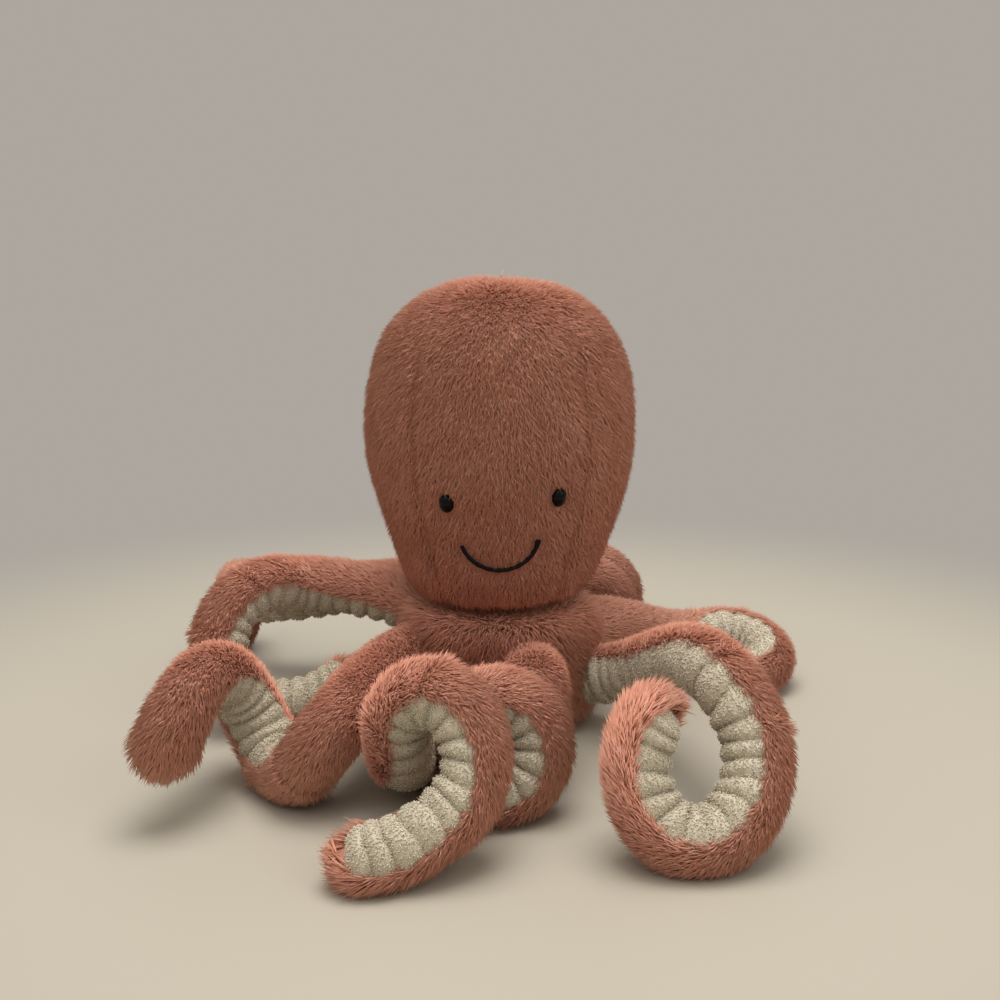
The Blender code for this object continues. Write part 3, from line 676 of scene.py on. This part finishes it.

# %% [markdown]
# ## Sleeves
# An arm's fur sleeve is round at its back and open underneath, where the terry is sewn in.
# A curve with a bevel would make a plain tube, so the sleeve is rows of its real section:
# a C of fur closed by a flat. It comes in three lengths, with a short one in the middle
# at the joint.

# %% Sleeve skins
STRIP_HALF_ANGLE = 80
SLEEVE_STEP = 3 * MM
SLEEVE_POINTS = 24
FLAT_POINTS = 4
BEND_HALF = 15 * MM
TIP_DOME = 0.95 * ARM_TIP_RADIUS
CLOSED_SHARE = 0.06
DOME_ROWS = 8
DOME_WRAP = 0.6
SHAGGY_REACH = 3 * ARM_TIP_RADIUS
SHAGGY_SHARE = 0.6
SINK = 9 * MM


def dome_share(route, distance):
    """How far the arm is still open where its tip rounds off."""
    past = (distance - (route.length - TIP_DOME)) / TIP_DOME
    return max(math.sqrt(max(0.0, 1 - max(0.0, past) ** 2)), CLOSED_SHARE)


def sleeve_row(route, distance):
    place, run, face, side = route.at(distance)
    radius = arm_radius(distance / route.length) * dome_share(route, distance)
    corner = math.radians(STRIP_HALF_ANGLE)
    turns = np.linspace(corner, 2 * math.pi - corner, SLEEVE_POINTS)
    points = [place + radius * (math.cos(a) * face + math.sin(a) * side) for a in turns]
    last, first = points[-1], points[0]
    shares = np.linspace(0, 1, FLAT_POINTS + 2)[1:-1]
    points.extend(last * (1 - t) + first * t for t in shares)
    return points, run


def rows_along(stops, row_at):
    """The rows at some distances along an arm, and the way that the arm runs at each."""
    made = [row_at(stop) for stop in stops]
    rows = np.array([points for points, _ in made])
    return rows, np.broadcast_to(np.array([run for _, run in made])[:, None], rows.shape)


def sleeve_skin(name, route, first, last):
    """One length of sleeve. Its comb runs along the arm, and round the end of the tip."""
    stops = even_steps(first, last, SLEEVE_STEP)
    if last == route.length:
        dome = last - TIP_DOME * (1 - np.sin(np.linspace(0, math.pi / 2, DOME_ROWS)))
        stops = np.concatenate([stops[stops < last - TIP_DOME], dome])
    rows, runs = rows_along(stops, lambda stop: sleeve_row(route, stop))
    near_tip = np.maximum(0.0, 1 - (route.length - stops) / SHAGGY_REACH)
    long = 1 + SHAGGY_SHARE * near_tip[:, None]
    cover = np.array([1.0] * SLEEVE_POINTS + [0.0] * FLAT_POINTS)
    comb = unit_ways(np.gradient(rows, axis=0)) * DOME_WRAP + runs * (1 - DOME_WRAP)
    return rows_skin(name, rows, cover, long, comb)


def arm_lengths(route):
    """The names and ends of an arm's three lengths."""
    start = max(0.0, route.seam - SINK)
    before, after = route.parting - BEND_HALF, route.parting + BEND_HALF
    return ("root", start, before), ("bend", before, after), ("tip", after, route.length)


def finish_length(piece, arm, part, solid):
    """Fixes one length of an arm in place and hides the solid under it. The tip length moves
    with its body. The middle ones have no solid of their own."""
    route = ROUTES[arm.name]
    name = "arm_" + arm.name
    if part == "tip":
        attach(piece, name + "_tip")
    elif part == "bend":
        place, run, _, _ = route.at(route.parting)
        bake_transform(piece)
    else:
        place, out = route.at(route.seam)[0], outward(arm.angle)
        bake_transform(piece)
    if part != "bend":
        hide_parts(f"{name}_{part}_{solid}")


ARM_PILE = dict(
    length=6.3 * MM, root_radius=0.38 * MM, lean=1.1, unruly=0.22, clumping=1.15,
    clump_size=9 * MM, tone_range=0.6, tufts_per_square_metre=1.5e6,
)
SLEEVE_SEED = 100
for seed, arm in enumerate(ARMS, SLEEVE_SEED):
    for part, first, last in arm_lengths(ROUTES[arm.name]):
        piece = sleeve_skin(f"arm_{arm.name}_{part}_fur", ROUTES[arm.name], first, last)
        grow_pile(piece, CORAL_FUR, seed=seed, **ARM_PILE)
        finish_length(piece, arm, part, "sleeve")
print("sleeve triangles", sum(triangle_counts.values()))

# %% [markdown]
# ## Gathered undersides
# The terry under each arm is cut longer than the arm and drawn up by elastic, so it stands
# in plump ribs with a sharp crease between them. The height of each rib comes from a rule:
# a half wave that is raised to a power below one is broad at the top and narrow at the
# crease. Slow noise shifts the creases, because no two gathers are alike.

# %% Ribbed skins
RIB_PITCH = 10.8 * MM
RIB_HEIGHT = 3.9 * MM
RIB_FULLNESS = 0.55
RIB_WANDER = 0.45
RIB_SKEW = 2.2 * MM
CREASE_DEPTH = 2.4 * MM
STRIP_POINTS = 22
STRIP_STEP = 1.1 * MM
STRIP_END_GAP = 1.5 * MM
BACKING_POINTS = 3
BACKING_SHARE = 0.85
LENS_GAP = 0.3 * MM


def rib_height(distance, across, seed):
    """How far the terry stands out at a place, across from -1 to 1."""
    wander = noise.noise(Vector((distance / (2.4 * RIB_PITCH), across * 0.7, seed)))
    skew = noise.noise(Vector((distance / (1.7 * RIB_PITCH), 9.0, seed))) * across
    place = distance + wander * RIB_PITCH * RIB_WANDER + skew * RIB_SKEW
    wave = abs(math.sin(math.pi * place / RIB_PITCH)) ** RIB_FULLNESS
    rib = math.floor(place / RIB_PITCH)
    tall = 0.8 + 0.4 * (noise.noise(Vector((rib * 1.7, 3.0, seed))) + 0.5)
    edge = math.sqrt(max(0.0, 1 - across**2 * 0.9))
    return (wave * RIB_HEIGHT * tall - CREASE_DEPTH) * edge


def strip_row(route, distance, seed):
    place, run, face, side = route.at(distance)
    closing = dome_share(route, distance)
    radius = arm_radius(distance / route.length) * closing
    corner = math.radians(STRIP_HALF_ANGLE + 2)
    points = []
    for a in np.linspace(-corner, corner, STRIP_POINTS):
        stand = radius + rib_height(distance, a / corner, seed) * closing
        points.append(place + stand * (math.cos(a) * face + math.sin(a) * side))
    back = radius * math.cos(math.radians(STRIP_HALF_ANGLE)) + LENS_GAP
    half = radius * math.sin(math.radians(STRIP_HALF_ANGLE))
    for t in np.linspace(BACKING_SHARE, -BACKING_SHARE, BACKING_POINTS):
        points.append(place + back * face + t * half * side)
    return points, run


def strip_skin(name, route, first, last, seed):
    """One length of ribbed terry. At the tip it stops just short of the sleeve's end."""
    if last == route.length:
        last -= STRIP_END_GAP
    stops = even_steps(first, last, STRIP_STEP)
    rows, runs = rows_along(stops, lambda stop: strip_row(route, stop, seed))
    cover = np.array([1.0] * STRIP_POINTS + [0.0] * BACKING_POINTS)
    return rows_skin(name, rows, cover, comb=runs)


TERRY_PILE = dict(
    length=1.2 * MM, root_radius=0.42 * MM, lean=0.75, unruly=0.7, clumping=1.6,
    clump_size=3 * MM, tone_range=0.5, tufts_per_square_metre=0.95e6,
)
UNDERSIDE_SEED = 200
for seed, arm in enumerate(ARMS, UNDERSIDE_SEED):
    for part, first, last in arm_lengths(ROUTES[arm.name]):
        piece = strip_skin(f"arm_{arm.name}_{part}_terry", ROUTES[arm.name], first, last, seed)
        grow_pile(piece, CREAM_TERRY, seed=seed, **TERRY_PILE)
        finish_length(piece, arm, part, "ribs")
print("arm triangles", sum(triangle_counts.values()))

# %% [markdown]
# ## Head
# Three panels of fur are sewn to a point at the crown and stuffed until they are tight. A
# turned outline gives the egg, a little too small. Blender's Cloth then blows it up from
# inside with its seams held, as the stuffing does, so each panel crowns and the seams
# stay low. The fur is brushed down from the crown, and lies short where the face is.

# %% Head outline
HEAD_WIDTH = 0.142
CROWN_HEIGHT = 0.245
HEAD_HEIGHT = 0.170
HEAD_OUTLINE_SHARES = (
    (1.000, 0.00), (0.975, 0.40), (0.915, 0.68), (0.800, 0.90), (0.640, 0.985),
    (0.480, 1.00), (0.330, 0.93), (0.160, 0.79), (0.060, 0.715), (0.015, 0.660),
)


def smooth_outline(knots, rows):
    """Even points along a smooth curve through the knots, as (radius, height)."""
    knots = np.array(knots, float)
    padded = np.vstack([2 * knots[0] - knots[1], knots, 2 * knots[-1] - knots[-2]])
    dense = []
    for i in range(1, len(padded) - 2):
        before, here, there, after = padded[i - 1 : i + 3]
        for t in np.linspace(0, 1, 12, endpoint=False):
            cubic = -before + 3 * here - 3 * there + after
            square = 2 * before - 5 * here + 4 * there - after
            dense.append(here + 0.5 * ((there - before) * t + square * t**2 + cubic * t**3))
    dense.append(knots[-1])
    dense = np.array(dense)
    dense[:, 0] = np.maximum(dense[:, 0], 0)
    along = distances_along(dense)
    places = np.linspace(0, along[-1], rows)
    return np.column_stack([np.interp(places, along, axis) for axis in dense.T])


def turned(outline, angles):
    """Rows of points round the upright axis, from an outline of (radius, height)."""
    return np.array([[outward(a) * r + UP * h for a in angles] for r, h in outline])


HEAD_ROWS = 60
head_profile = smooth_outline(
    [
        (radius * HEAD_WIDTH / 2, CROWN_HEIGHT - HEAD_HEIGHT * (1 - height))
        for height, radius in HEAD_OUTLINE_SHARES
    ],
    HEAD_ROWS,
)


def head_radius_at(height):
    return float(np.interp(height, head_profile[::-1, 1], head_profile[::-1, 0]))


def face_point(x, height):
    """A place on the front of the head, and the way straight out of it."""
    probe = 1 * MM
    radius = head_radius_at(height)
    rise = head_radius_at(height + probe) - head_radius_at(height - probe)
    place = Vector((x, -math.sqrt(radius**2 - x**2), height))
    out = Vector((place.x / radius, place.y / radius, -rise / (2 * probe)))
    return place, out.normalized()


print("head outline", len(head_profile), "points")

# %% Face places
EYE_SHIFT = 0.0013
EYE_SPACING = 0.0552
EYE_HEIGHTS = (0.134, 0.137)
EYES = [
    (side, *face_point(EYE_SHIFT + sign * EYE_SPACING / 2, height))
    for side, sign, height in zip(("left", "right"), (-1, 1), EYE_HEIGHTS)
]
MOUTH_WIDTH = 0.037
MOUTH_DEPTH = 0.0148
MOUTH_END_HEIGHT = 0.1136
MOUTH_TILT = 5


def mouth_points(count):
    """Places along the smile, from left to right, each with the way out of the face."""
    half = MOUTH_WIDTH / 2
    bend = (half**2 + MOUTH_DEPTH**2) / (2 * MOUTH_DEPTH)
    sweep = math.asin(half / bend)
    tilt = math.radians(MOUTH_TILT)
    for turn in np.linspace(-sweep, sweep, count):
        across = bend * math.sin(turn)
        drop = bend * (math.cos(turn) - math.cos(sweep))
        x = across * math.cos(tilt) + drop * math.sin(tilt)
        yield face_point(x, MOUTH_END_HEIGHT + across * math.sin(tilt) - drop * math.cos(tilt))


MOUTH = list(mouth_points(25))
print("eyes at", [tuple(round(v, 3) for v in place) for _, place, _ in EYES])

# %% Stuffing pressure
FRONT_HALF_ANGLE = 38.6
PANELS = (
    ("head_front_panel", -FRONT_HALF_ANGLE, FRONT_HALF_ANGLE),
    ("head_right_panel", FRONT_HALF_ANGLE, 180),
    ("head_left_panel", 180, 360 - FRONT_HALF_ANGLE),
)
CLOTH_STEP_ANGLE = 5.9
CLOTH_ROWS = range(4, HEAD_ROWS, 2)
CLOTH_FRAMES = 20
CLOTH_STIFFNESS = 0.5
CLOTH_PRESSURE = 60
CLOTH_MASS = 0.3
CLOTH_QUALITY = 6
MOST_SWELLING = 2.2 * MM
START_SMALLER = 0.8 * MM


def swollen(rows, held):
    """How far Cloth moves each point of a closed skin that is blown up from inside."""
    count, across = rows.shape[:2]
    faces = []
    for i in range(count - 1):
        for j in range(across):
            a, b = i * across + j, i * across + (j + 1) % across
            faces.append((a, a + across, b + across, b))
    faces.append(tuple(range(across)))
    faces.append(tuple(range((count - 1) * across, count * across))[::-1])
    mesh = bpy.data.meshes.new("swelling")
    mesh.from_pydata(rows.reshape(-1, 3).tolist(), [], faces)
    thing = link_new("swelling", mesh)
    sewn = thing.vertex_groups.new(name="sewn")
    sewn.add(np.flatnonzero(held).tolist(), 1.0, "REPLACE")
    cloth = thing.modifiers.new("cloth", "CLOTH")
    cloth.settings.quality = CLOTH_QUALITY
    cloth.settings.mass = CLOTH_MASS
    for kind in ("tension", "compression", "shear", "bending"):
        setattr(cloth.settings, kind + "_stiffness", CLOTH_STIFFNESS)
    cloth.settings.vertex_group_mass = "sewn"
    cloth.settings.use_pressure = True
    cloth.settings.uniform_pressure_force = CLOTH_PRESSURE
    cloth.settings.effector_weights.gravity = 0
    for moment in range(1, CLOTH_FRAMES + 1):
        SCENE.frame_set(moment)
    made = thing.evaluated_get(bpy.context.evaluated_depsgraph_get()).to_mesh()
    moved = places_of(made).reshape(rows.shape) - rows
    SCENE.frame_set(1)
    bpy.data.objects.remove(thing)
    size = np.maximum(np.linalg.norm(moved, axis=2), 1e-9)[..., None]
    return moved * np.minimum(1, MOST_SWELLING / size)


cloth_angles = np.concatenate([even_steps(a, b, CLOTH_STEP_ANGLE)[:-1] for _, a, b in PANELS])
cloth_rows = turned(head_profile[list(CLOTH_ROWS)] - (START_SMALLER, 0), cloth_angles)
seam_held = np.zeros(cloth_rows.shape[:2], bool)
seam_held[[0, -1]] = True
seam_held[:, np.isin(cloth_angles, [first for _, first, _ in PANELS])] = True
head_swelling = swollen(cloth_rows, seam_held)
most = float(np.linalg.norm(head_swelling, axis=2).max()) / MM
print("the stuffing pushes the panels out by up to", round(most, 2), "mm")


def swelling_at(angles):
    """The head's swelling in each row of its outline, at some angles."""
    ring = np.append(cloth_angles, cloth_angles[0] + 360)
    moved = np.concatenate([head_swelling, head_swelling[:, :1]], axis=1)
    across = [[np.interp(angles, ring, row[:, axis]) for axis in range(3)] for row in moved]
    across = np.array(across).transpose(0, 2, 1).reshape(len(moved), -1)
    down = [np.interp(range(HEAD_ROWS), CLOTH_ROWS, column) for column in across.T]
    return np.array(down).T.reshape(HEAD_ROWS, len(angles), 3)


# %% Head panels
SEAM_DEPTH = 2.4 * MM
CROWN_LONGER_SHARE = 0.15
SIDE_COVER = 0.86
SEAM_REACH = 6 * MM
PANEL_STEP_ANGLE = 2.4
EYE_CLEARING = 9 * MM
EYE_BARE = 3.6 * MM
MOUTH_CLEARING = 7 * MM
NARROWEST = 0.6 * MM
HEAD_OPENING = (0.024, NECK_HEIGHT + 0.0021)
HEAD_LUMPS = (0.035, 1.3 * MM)
HEAD_MIDDLE = 0.15
FLATTER = 0.4
PARTED_SHARE = 0.6


def distances_to(rows, marks):
    marks = np.array([tuple(mark) for mark in marks])
    return np.linalg.norm(rows[:, :, None] - marks, axis=3).min(axis=2)


def trim_near_face(rows):
    """The pile's share of its length: short round the eyes and under the mouth."""
    shares = np.ones(rows.shape[:2])
    for marks, reach, least in (
        ([place for _, place, _ in EYES], EYE_CLEARING, 0.5),
        ([place for place, _ in MOUTH], MOUTH_CLEARING, 0.45),
    ):
        near = distances_to(rows, marks) / reach
        shares = np.minimum(shares, least + (1 - least) * np.clip(near, 0, 1) ** 2)
    return shares


def panel_skin(name, first, last):
    """A panel that dips at its seams. On the face its comb parts to the two sides."""
    angles = even_steps(first, last, PANEL_STEP_ANGLE)
    outline = np.vstack([head_profile - (START_SMALLER, 0), HEAD_OPENING])
    rows = []
    for radius, height in outline:
        radius = max(radius, NARROWEST)
        row = []
        for angle in angles:
            edge = min(angle - first, last - angle) * math.pi / 180 * radius
            dip = SEAM_DEPTH * math.exp(-((edge / SEAM_REACH * 2) ** 2))
            row.append(outward(angle) * (radius - dip) + UP * height)
        rows.append(row)
    rows = np.array(rows)
    rows[:HEAD_ROWS] += swelling_at(angles)
    out = rows * (1, 1, FLATTER) - UP * (FLATTER * HEAD_MIDDLE)
    rows += unit_ways(out) * lumps(rows, *HEAD_LUMPS)
    front = np.clip(-rows[..., 1] / (HEAD_WIDTH / 2), 0, 1)
    aside = rows * (1, 0, 0) / (HEAD_WIDTH / 2)
    parted = aside * front[..., None] * PARTED_SHARE
    comb = unit_ways(np.gradient(rows, axis=0)) + parted
    crown = np.clip((rows[..., 2] - CROWN_HEIGHT) / (0.1 * HEAD_HEIGHT) + 1, 0, 1)
    long = trim_near_face(rows) * (1 + CROWN_LONGER_SHARE * crown)
    furred = distances_to(rows, [place for _, place, _ in EYES]) >= EYE_BARE
    cover = furred * (SIDE_COVER + (1 - SIDE_COVER) * crown)
    return rows_skin(name, rows, cover, long, comb, wraps=False)


def back_closed(thing, depth):
    """Gives an open skin a back, so that the piece is cloth of a real thickness."""
    solidify = thing.modifiers.new("cloth", "SOLIDIFY")
    solidify.thickness = depth
    solidify.offset = -1
    mesh = plain_mesh(thing)
    for item in mesh.attributes["cover"].data[len(mesh.vertices) // 2 :]:
        item.value = 0.0


HEAD_PILE = dict(
    ARM_PILE, length=6.2 * MM, root_radius=0.37 * MM, unruly=0.30, clumping=1.25,
    clump_size=7 * MM,
)
HEAD_SEED = 10
for number, (name, first, last) in enumerate(PANELS):
    panel = panel_skin(name.replace("panel", "fur"), first, last)
    back_closed(panel, 1 * MM)
    grow_pile(panel, CORAL_FUR, seed=HEAD_SEED + number, **HEAD_PILE)
    stand_in(panel, "head", "coral_fur", name, 0.9)
    print(panel.name, triangle_counts[panel.name], "triangles")

# %% [markdown]
# ## Body
# The body is a squat cover under the head. Its fur is longest at the top, where it meets
# the chin like a collar.

# %% Body skin
BASE_WIDTH = 0.092
BODY_OUTLINE_SHARES = (
    (0.925, 0.885), (0.810, 0.965), (0.560, 1.00), (0.300, 0.985), (0.110, 0.93),
)
BODY_FOOT = 1.9 * MM
BODY_ROWS = 26
BODY_COLUMNS = 96
BODY_OPENING = ((0.024, NECK_HEIGHT - 0.0017), (0.036, NECK_HEIGHT - 0.0025))
BODY_LUMPS = (0.02, 1.5 * MM)
COLLAR_SHARE = 0.4
UNDER_HEAD_SHARE = 0.8
UNDER_HEAD_LENGTH = 0.5
BODY_SEED = 40
body_knots = [
    *((share * BODY_WIDTH / 2, height * NECK_HEIGHT) for height, share in BODY_OUTLINE_SHARES),
    (BASE_WIDTH / 2, BODY_FOOT),
]
body_profile = smooth_outline(body_knots, BODY_ROWS)

angles = np.linspace(0, 360, BODY_COLUMNS, endpoint=False)
rows = turned(np.vstack([*BODY_OPENING, body_profile]), angles)
rows += unit_ways(rows * (1, 1, 0)) * lumps(rows, *BODY_LUMPS)
long = 1 + COLLAR_SHARE * np.clip(rows[..., 2] / NECK_HEIGHT, 0, 1) ** 3
under_head = np.linalg.norm(rows[..., :2], axis=2) < UNDER_HEAD_SHARE * BODY_WIDTH / 2
long = np.where(under_head, UNDER_HEAD_LENGTH, long)
body = rows_skin("body_fur", rows, 1.0, long)

BODY_PILE = dict(
    HEAD_PILE, length=8 * MM, lean=0.95, clumping=1.0, tufts_per_square_metre=1.15e6
)
grow_pile(body, CORAL_FUR, seed=BODY_SEED, **BODY_PILE)
stand_in(body, "body", "coral_fur", "body_cover", 0.7)
print("body triangles", triangle_counts["body_fur"])

# %% [markdown]
# ## Eyes
# Each eye is a black plastic bead, a little taller than wide, pressed into the fur.

# %% Eye beads
EYE_WIDTH = 0.0078
EYE_TALL = 0.0100
EYE_DOME = 0.0036
EYE_BACK = 1.6 * MM
EYE_LIFT = 1.7 * MM
EYE_PLASTIC, _ = plain_material(
    "eye_plastic", (0.003, 0.0025, 0.0025), 0.16, {"Specular IOR Level": 0.14}
)

for side, place, out in EYES:
    shape = bmesh.new()
    bmesh.ops.create_uvsphere(shape, u_segments=40, v_segments=24, radius=1)
    for vertex in shape.verts:
        x, y, z = vertex.co
        height = z * (EYE_DOME if z > 0 else EYE_BACK)
        vertex.co = (x * EYE_WIDTH / 2, y * EYE_TALL / 2, height)
    mesh = bpy.data.meshes.new("eye_bead_" + side)
    shape.to_mesh(mesh)
    shape.free()
    mesh.shade_smooth()
    mesh.transform(out.to_track_quat("Z", "Y").to_matrix().to_4x4())
    mesh.transform(Matrix.Translation(place + out * EYE_LIFT))
    bead = link_new("eye_bead_" + side, mesh, EYE_PLASTIC)
    stand_in(bead, "head", "eye_plastic", "eye_" + side)
print("two eye beads")

# %% [markdown]
# ## Smile
# The mouth is one row of back stitches in thick black thread, laid in a trough in the fur.

# %% Mouth thread
THREAD_RADIUS = 1.15 * MM
THREAD_LIFT = 3.6 * MM
STITCH_POINTS = 6
STITCH_PINCH = 0.15
TIED_OFF_SHARE = 0.1
TIED_OFF_SWELL = 0.35
MOUTH_THREAD, _ = plain_material(
    "mouth_thread", (0.006, 0.005, 0.006), 0.8, {"Specular IOR Level": 0.2}
)

curve = bpy.data.curves.new("smile", "CURVE")
curve.dimensions = "3D"
curve.bevel_depth = THREAD_RADIUS
curve.bevel_resolution = 4
curve.use_fill_caps = True
spline = curve.splines.new("POLY")
points = list(mouth_points(60))
spline.points.add(len(points) - 1)
for number, (item, (place, out)) in enumerate(zip(spline.points, points)):
    item.co = (*(place + out * THREAD_LIFT), 1)
    wave = abs(math.sin(number * math.pi / STITCH_POINTS))
    past = number / (len(points) - 1) - (1 - TIED_OFF_SHARE)
    knot = TIED_OFF_SWELL * max(0.0, past) / TIED_OFF_SHARE
    item.radius = 1 - STITCH_PINCH + STITCH_PINCH * wave + knot
smile_curve = link_new("smile", curve)
graph = bpy.context.evaluated_depsgraph_get()
smile_mesh = bpy.data.meshes.new_from_object(smile_curve.evaluated_get(graph))
bpy.data.objects.remove(smile_curve)
smile = link_new("smile_thread", smile_mesh, MOUTH_THREAD)
stand_in(smile, "head", "mouth_thread", "mouth_thread")
print("smile", len(smile_mesh.vertices), "points")

# %% [markdown]
# ## Stuffing
# Under the fur are a pad of fibre in the head, another in the body, a ball of it at the
# neck and a pouch of beans that keeps the toy upright. Each is a turned form with slow
# lumps in it, made by the same rows as the skins. The cloth that closes the body is flat.
# The ball at the neck wears the same cloth, because a gap shows it when the head tips.

# %% Loose cloth and fibre
# How dark the painted shade between the threads is
SHADE_BETWEEN_THREADS = 0.78
CLOTH_SHEEN = 0.2


def cloth_material(name, colour, roughness, grain, depth):
    """Fibre or woven cloth: fine noise in its colour and in its relief. The colour is darker where
    the relief is low, a painted shade between the threads.
    """
    material, shader = plain_material(name, colour, roughness, {"Sheen Weight": CLOTH_SHEEN})
    tree = material.node_tree
    where = tree.nodes.new("ShaderNodeTexCoord").outputs["Object"]
    threads = out_of(
        tree, "ShaderNodeTexNoise", into={"Vector": where, "Scale": grain, "Detail": 4}
    )
    # Painted shade: the colour darkens between the threads, where the relief is low
    darker = tuple(SHADE_BETWEEN_THREADS * part for part in colour)
    shades = mix_colours(tree, threads, (*darker, 1), (*colour, 1))
    relief = out_of(tree, "ShaderNodeBump", into={"Distance": depth, "Height": threads})
    tree.links.new(shades, shader.inputs["Base Color"])
    tree.links.new(relief, shader.inputs["Normal"])
    return material


FIBRE = cloth_material("fibre_filling", (0.85, 0.85, 0.82), 1.0, 400, 0.6 * MM)
POUCH_CLOTH = cloth_material("pouch_cloth", (0.75, 0.71, 0.64), 0.9, 900, 0.2 * MM)
BASE_CLOTH = cloth_material("base_cloth", (0.66, 0.28, 0.18), 0.95, 700, 0.4 * MM)
print("cloths:", FIBRE.name, POUCH_CLOTH.name, BASE_CLOTH.name)

# %% Stuffing forms
STUFFING_GAP = 4 * MM
LUMP_SIZE = 0.018
FORM_NARROWEST = 0.3 * MM


def stuffed_form(name, outline, material, lump, columns):
    """A closed turned form. The outline is (radius, height) from the top down."""
    angles = np.linspace(0, 360, columns, endpoint=False)
    rows = turned([(max(radius, FORM_NARROWEST), height) for radius, height in outline], angles)
    rows -= unit_ways(rows * (1, 1, 0)) * np.abs(lumps(rows, LUMP_SIZE, lump))
    thing = rows_skin(name, rows, 0.0)
    for label in ("comb", "cover", "long"):
        thing.data.attributes.remove(thing.data.attributes[label])
    thing.data.materials.append(material)
    triangle_counts[name] = triangles_of(thing.data)
    return thing


def round_outline(node, fullness, rows):
    """A rounded pad of a solid's size, from its top to its foot. A smaller fullness is
    squarer at the side."""
    low_corner, high_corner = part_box(node)
    low, high, radius = low_corner.z, high_corner.z, (high_corner.x - low_corner.x) / 2
    middle, half = (low + high) / 2, (high - low) / 2
    turns = np.linspace(math.pi / 2, -math.pi / 2, rows)
    return [(radius * max(math.cos(t), 0) ** fullness, middle + half * math.sin(t)) for t in turns]


def inside(profile, node):
    """The part of an outline at a solid's height, drawn in by the gap all round."""
    low, high = (corner.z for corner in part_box(node))
    radii, heights = profile[profile[:, 1] > low].T
    heights = np.minimum(heights, high)
    middle = (heights[0] + heights[-1]) / 2
    share = 1 - 2 * STUFFING_GAP / (heights[0] - heights[-1])
    return zip(np.maximum(radii - STUFFING_GAP, 0), middle + (heights - middle) * share)


PADS = (
    ("head_stuffing", "head_filling", "head", FIBRE, "fibre_filling", 1.2, 64, 0.9),
    ("body_stuffing", "body_filling", "body", FIBRE, "fibre_filling", 1.2, 64, 0.8),
    ("neck_stuffing", "neck_filling", "neck", BASE_CLOTH, "coral_fur", 0.4, 64, 0.9),
    ("pouch_of_beans", "bean_pouch", "body", POUCH_CLOTH, "pouch_cloth", 0.8, 96, 0.6),
    ("base_cloth", "base_panel", "body", BASE_CLOTH, "coral_fur", 0.1, 96, 0.1),
)
PAD_OUTLINES = (
    inside(head_profile, "head_filling"),
    inside(body_profile, "body_filling"),
    round_outline("neck_filling", 1.0, 28),
    round_outline("bean_pouch", 0.5, 30),
    round_outline("base_panel", 0.25, 10),
)
for pad, outline in zip(PADS, PAD_OUTLINES):
    name, node, body, material, slot, lump, columns, fill = pad
    form = stuffed_form(name, outline, material, lump * MM, columns)
    stand_in(form, body, slot, node, fill)
print("inner pieces: head, body, neck, pouch and base")

# %% Washers
WASHER_PLASTIC = cloth_material("washer_plastic", (0.80, 0.80, 0.78), 0.4, 60, 0.02 * MM)
for side in ("left", "right"):
    for slot in bpy.data.objects["eye_washer_" + side].material_slots:
        slot.material = WASHER_PLASTIC
print("the washers are moulded plastic")

# %% Triangle count
print("all triangles", sum(triangle_counts.values()))
